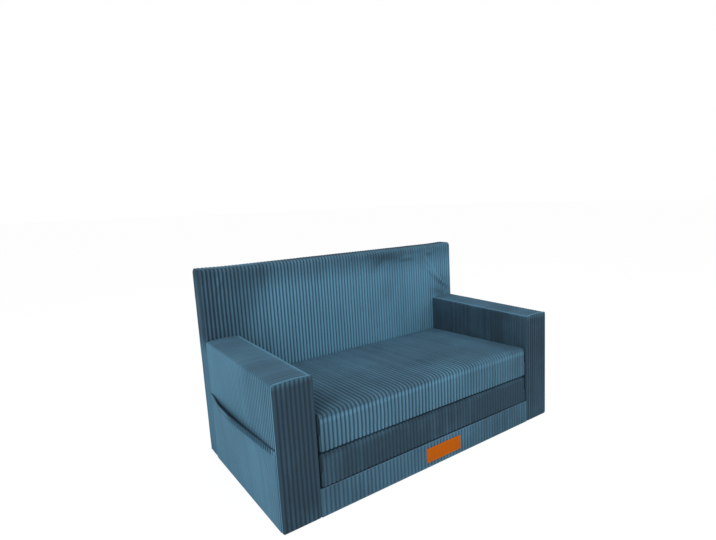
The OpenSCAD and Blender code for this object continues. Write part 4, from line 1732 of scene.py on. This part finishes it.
@dataclass
class Studio:
    """A pale floor, soft lamps, and the camera at the photograph's angle."""

    place: tuple[float, float, float] = (-0.8148, -1.2506, 0.7220)
    yaw: float = 0.6978
    pitch: float = 0.1563
    roll: float = -0.0315
    focal: float = 504.14
    centre: tuple[float, float] = (439.97, 274.22)

    def camera(self) -> None:
        """Set up the camera."""
        cos, sin = math.cos(self.yaw), math.sin(self.yaw)
        ahead = np.array([sin * math.cos(self.pitch), cos * math.cos(self.pitch), -math.sin(self.pitch)])
        level = np.array([cos, -sin, 0.0])
        upright = np.cross(level, ahead)
        right = math.cos(self.roll) * level + math.sin(self.roll) * upright
        up = math.cos(self.roll) * upright - math.sin(self.roll) * level
        data = bpy.data.cameras.new("camera")
        data.lens = self.focal / PICTURE[0] * data.sensor_width
        data.shift_x = (PICTURE[0] / 2 - self.centre[0]) / PICTURE[0]
        data.shift_y = (self.centre[1] - PICTURE[1] / 2) / PICTURE[0]
        data.clip_start, data.clip_end = 0.05, 60.0
        camera = add("camera", data)
        axes = np.eye(4)
        axes[:3] = np.stack([right, up, -ahead, self.place], -1)
        camera.matrix_world = Matrix(axes.tolist())
        bpy.context.scene.camera = camera

    def lamp(self, name: str, place: tuple[float, float, float], size: float, watts: float) -> None:
        """Add a soft square lamp that faces the sofa.

        Args:
            name: Its name.
            place: Its place.
            size: The length of its side.
            watts: Its power.
        """
        data = bpy.data.lights.new(name, "AREA")
        data.size, data.energy = size, watts
        lamp = add(name, data)
        lamp.location = place
        way = Vector((0.0, 0.0, 0.25)) - lamp.location
        lamp.rotation_euler = way.to_track_quat("-Z", "Y").to_euler()

    def floor(self) -> None:
        """Add the floor, which looks pale to the camera and keeps the sofa's shadow."""
        mesh = bpy.data.meshes.new("floor")
        mesh.from_pydata([(-30, -30, 0), (30, -30, 0), (30, 30, 0), (-30, 30, 0)], [], [(0, 1, 2, 3)])
        made = bpy.data.materials.new("floor")
        tree = emptied(made)
        pale = put(tree, "ShaderNodeBsdfDiffuse", {"Color": (0.8, 0.8, 0.8, 1.0)})
        glow = put(tree, "ShaderNodeEmission", {"Color": (1.0, 1.0, 1.0, 1.0), "Strength": 1.12})
        share = calc(tree, "MULTIPLY", put(tree, "ShaderNodeLightPath", out="Is Camera Ray"), 0.8)
        mix = put(tree, "ShaderNodeMixShader", {0: share, 1: pale, 2: glow})
        put(tree, "ShaderNodeOutputMaterial", {"Surface": mix})
        mesh.materials.append(made)
        add("floor", mesh)

    def sky(self) -> None:
        """Light the scene all round, brighter behind the sofa than on it."""
        world = bpy.data.worlds.new("studio")
        tree = emptied(world)
        seen = put(tree, "ShaderNodeLightPath", out="Is Camera Ray")
        strength = calc(tree, "MULTIPLY_ADD", seen, 0.45, 0.55)
        light = put(tree, "ShaderNodeBackground", {"Color": (1.0, 1.0, 1.0, 1.0), "Strength": strength})
        put(tree, "ShaderNodeOutputWorld", {"Surface": light})
        bpy.context.scene.world = world

    def build(self) -> None:
        """Build the studio."""
        bpy.context.scene.view_settings.view_transform = "Standard"
        self.sky()
        self.floor()
        self.camera()
        self.lamp("key", (-1.9, -1.7, 1.9), 1.6, 34.0)
        self.lamp("front", (0.6, -2.6, 1.3), 1.8, 16.0)
        self.lamp("top", (0.4, 0.2, 2.6), 1.6, 10.0)


def main() -> None:
    """Build the sofa and the studio."""
    logging.basicConfig(level=logging.INFO, format="%(name)s %(message)s", stream=sys.stdout)
    for side in Side:
        Arm(side).build()
        Pocket(side).build()
    Back().build()
    Base().build()
    Pad(
        "lower_pad", 0.0715, 0.080, 0.0, 0.0, 0.0, 0.0022, 0.05, 0.05, 0.05, 0.6,
        front_lie=(0.16, 0.0, -0.16, 0.06, 0.0, -0.16, -0.12), corner_low=0.0015,
    ).build()
    Pad(
        "upper_pad", 0.1525, 0.076, 0.003, 0.016, 0.0025, 0.003, 0.59, 0.32, 0.7, 1.0,
        front_lie=(-0.20, -0.10, -0.10, 0.0, -0.02, -0.18, -0.24),
        edge_lie=(-0.10, -0.12, 0.0, 0.02, 0.20, 0.10, -0.05),
    ).build()
    Zip("back_zip", 0, 1, "shell", "back_cover").build()
    for name in ("lower_pad", "upper_pad"):
        Zip(f"{name}_zip", 1, 0, name, f"{name}_right_end").build()
    Hinge(
        "front_hinge_strip", "front_hinge_cloth", "deck_cloth", ("shell", "lower_pad"),
        start=(0, -0.2550, 0.0706), end=(0, -0.2590, 0.0706),
    ).build()
    Hinge(
        "rear_hinge_band", "rear_hinge_cloth", "lower_pad_cover_cloth", ("lower_pad", "upper_pad"),
        start=(0, 0.1874, 0.1490), end=(0, 0.1874, 0.1550),
    ).build()
    Studio().build()


if __name__ == "__main__":
    main()
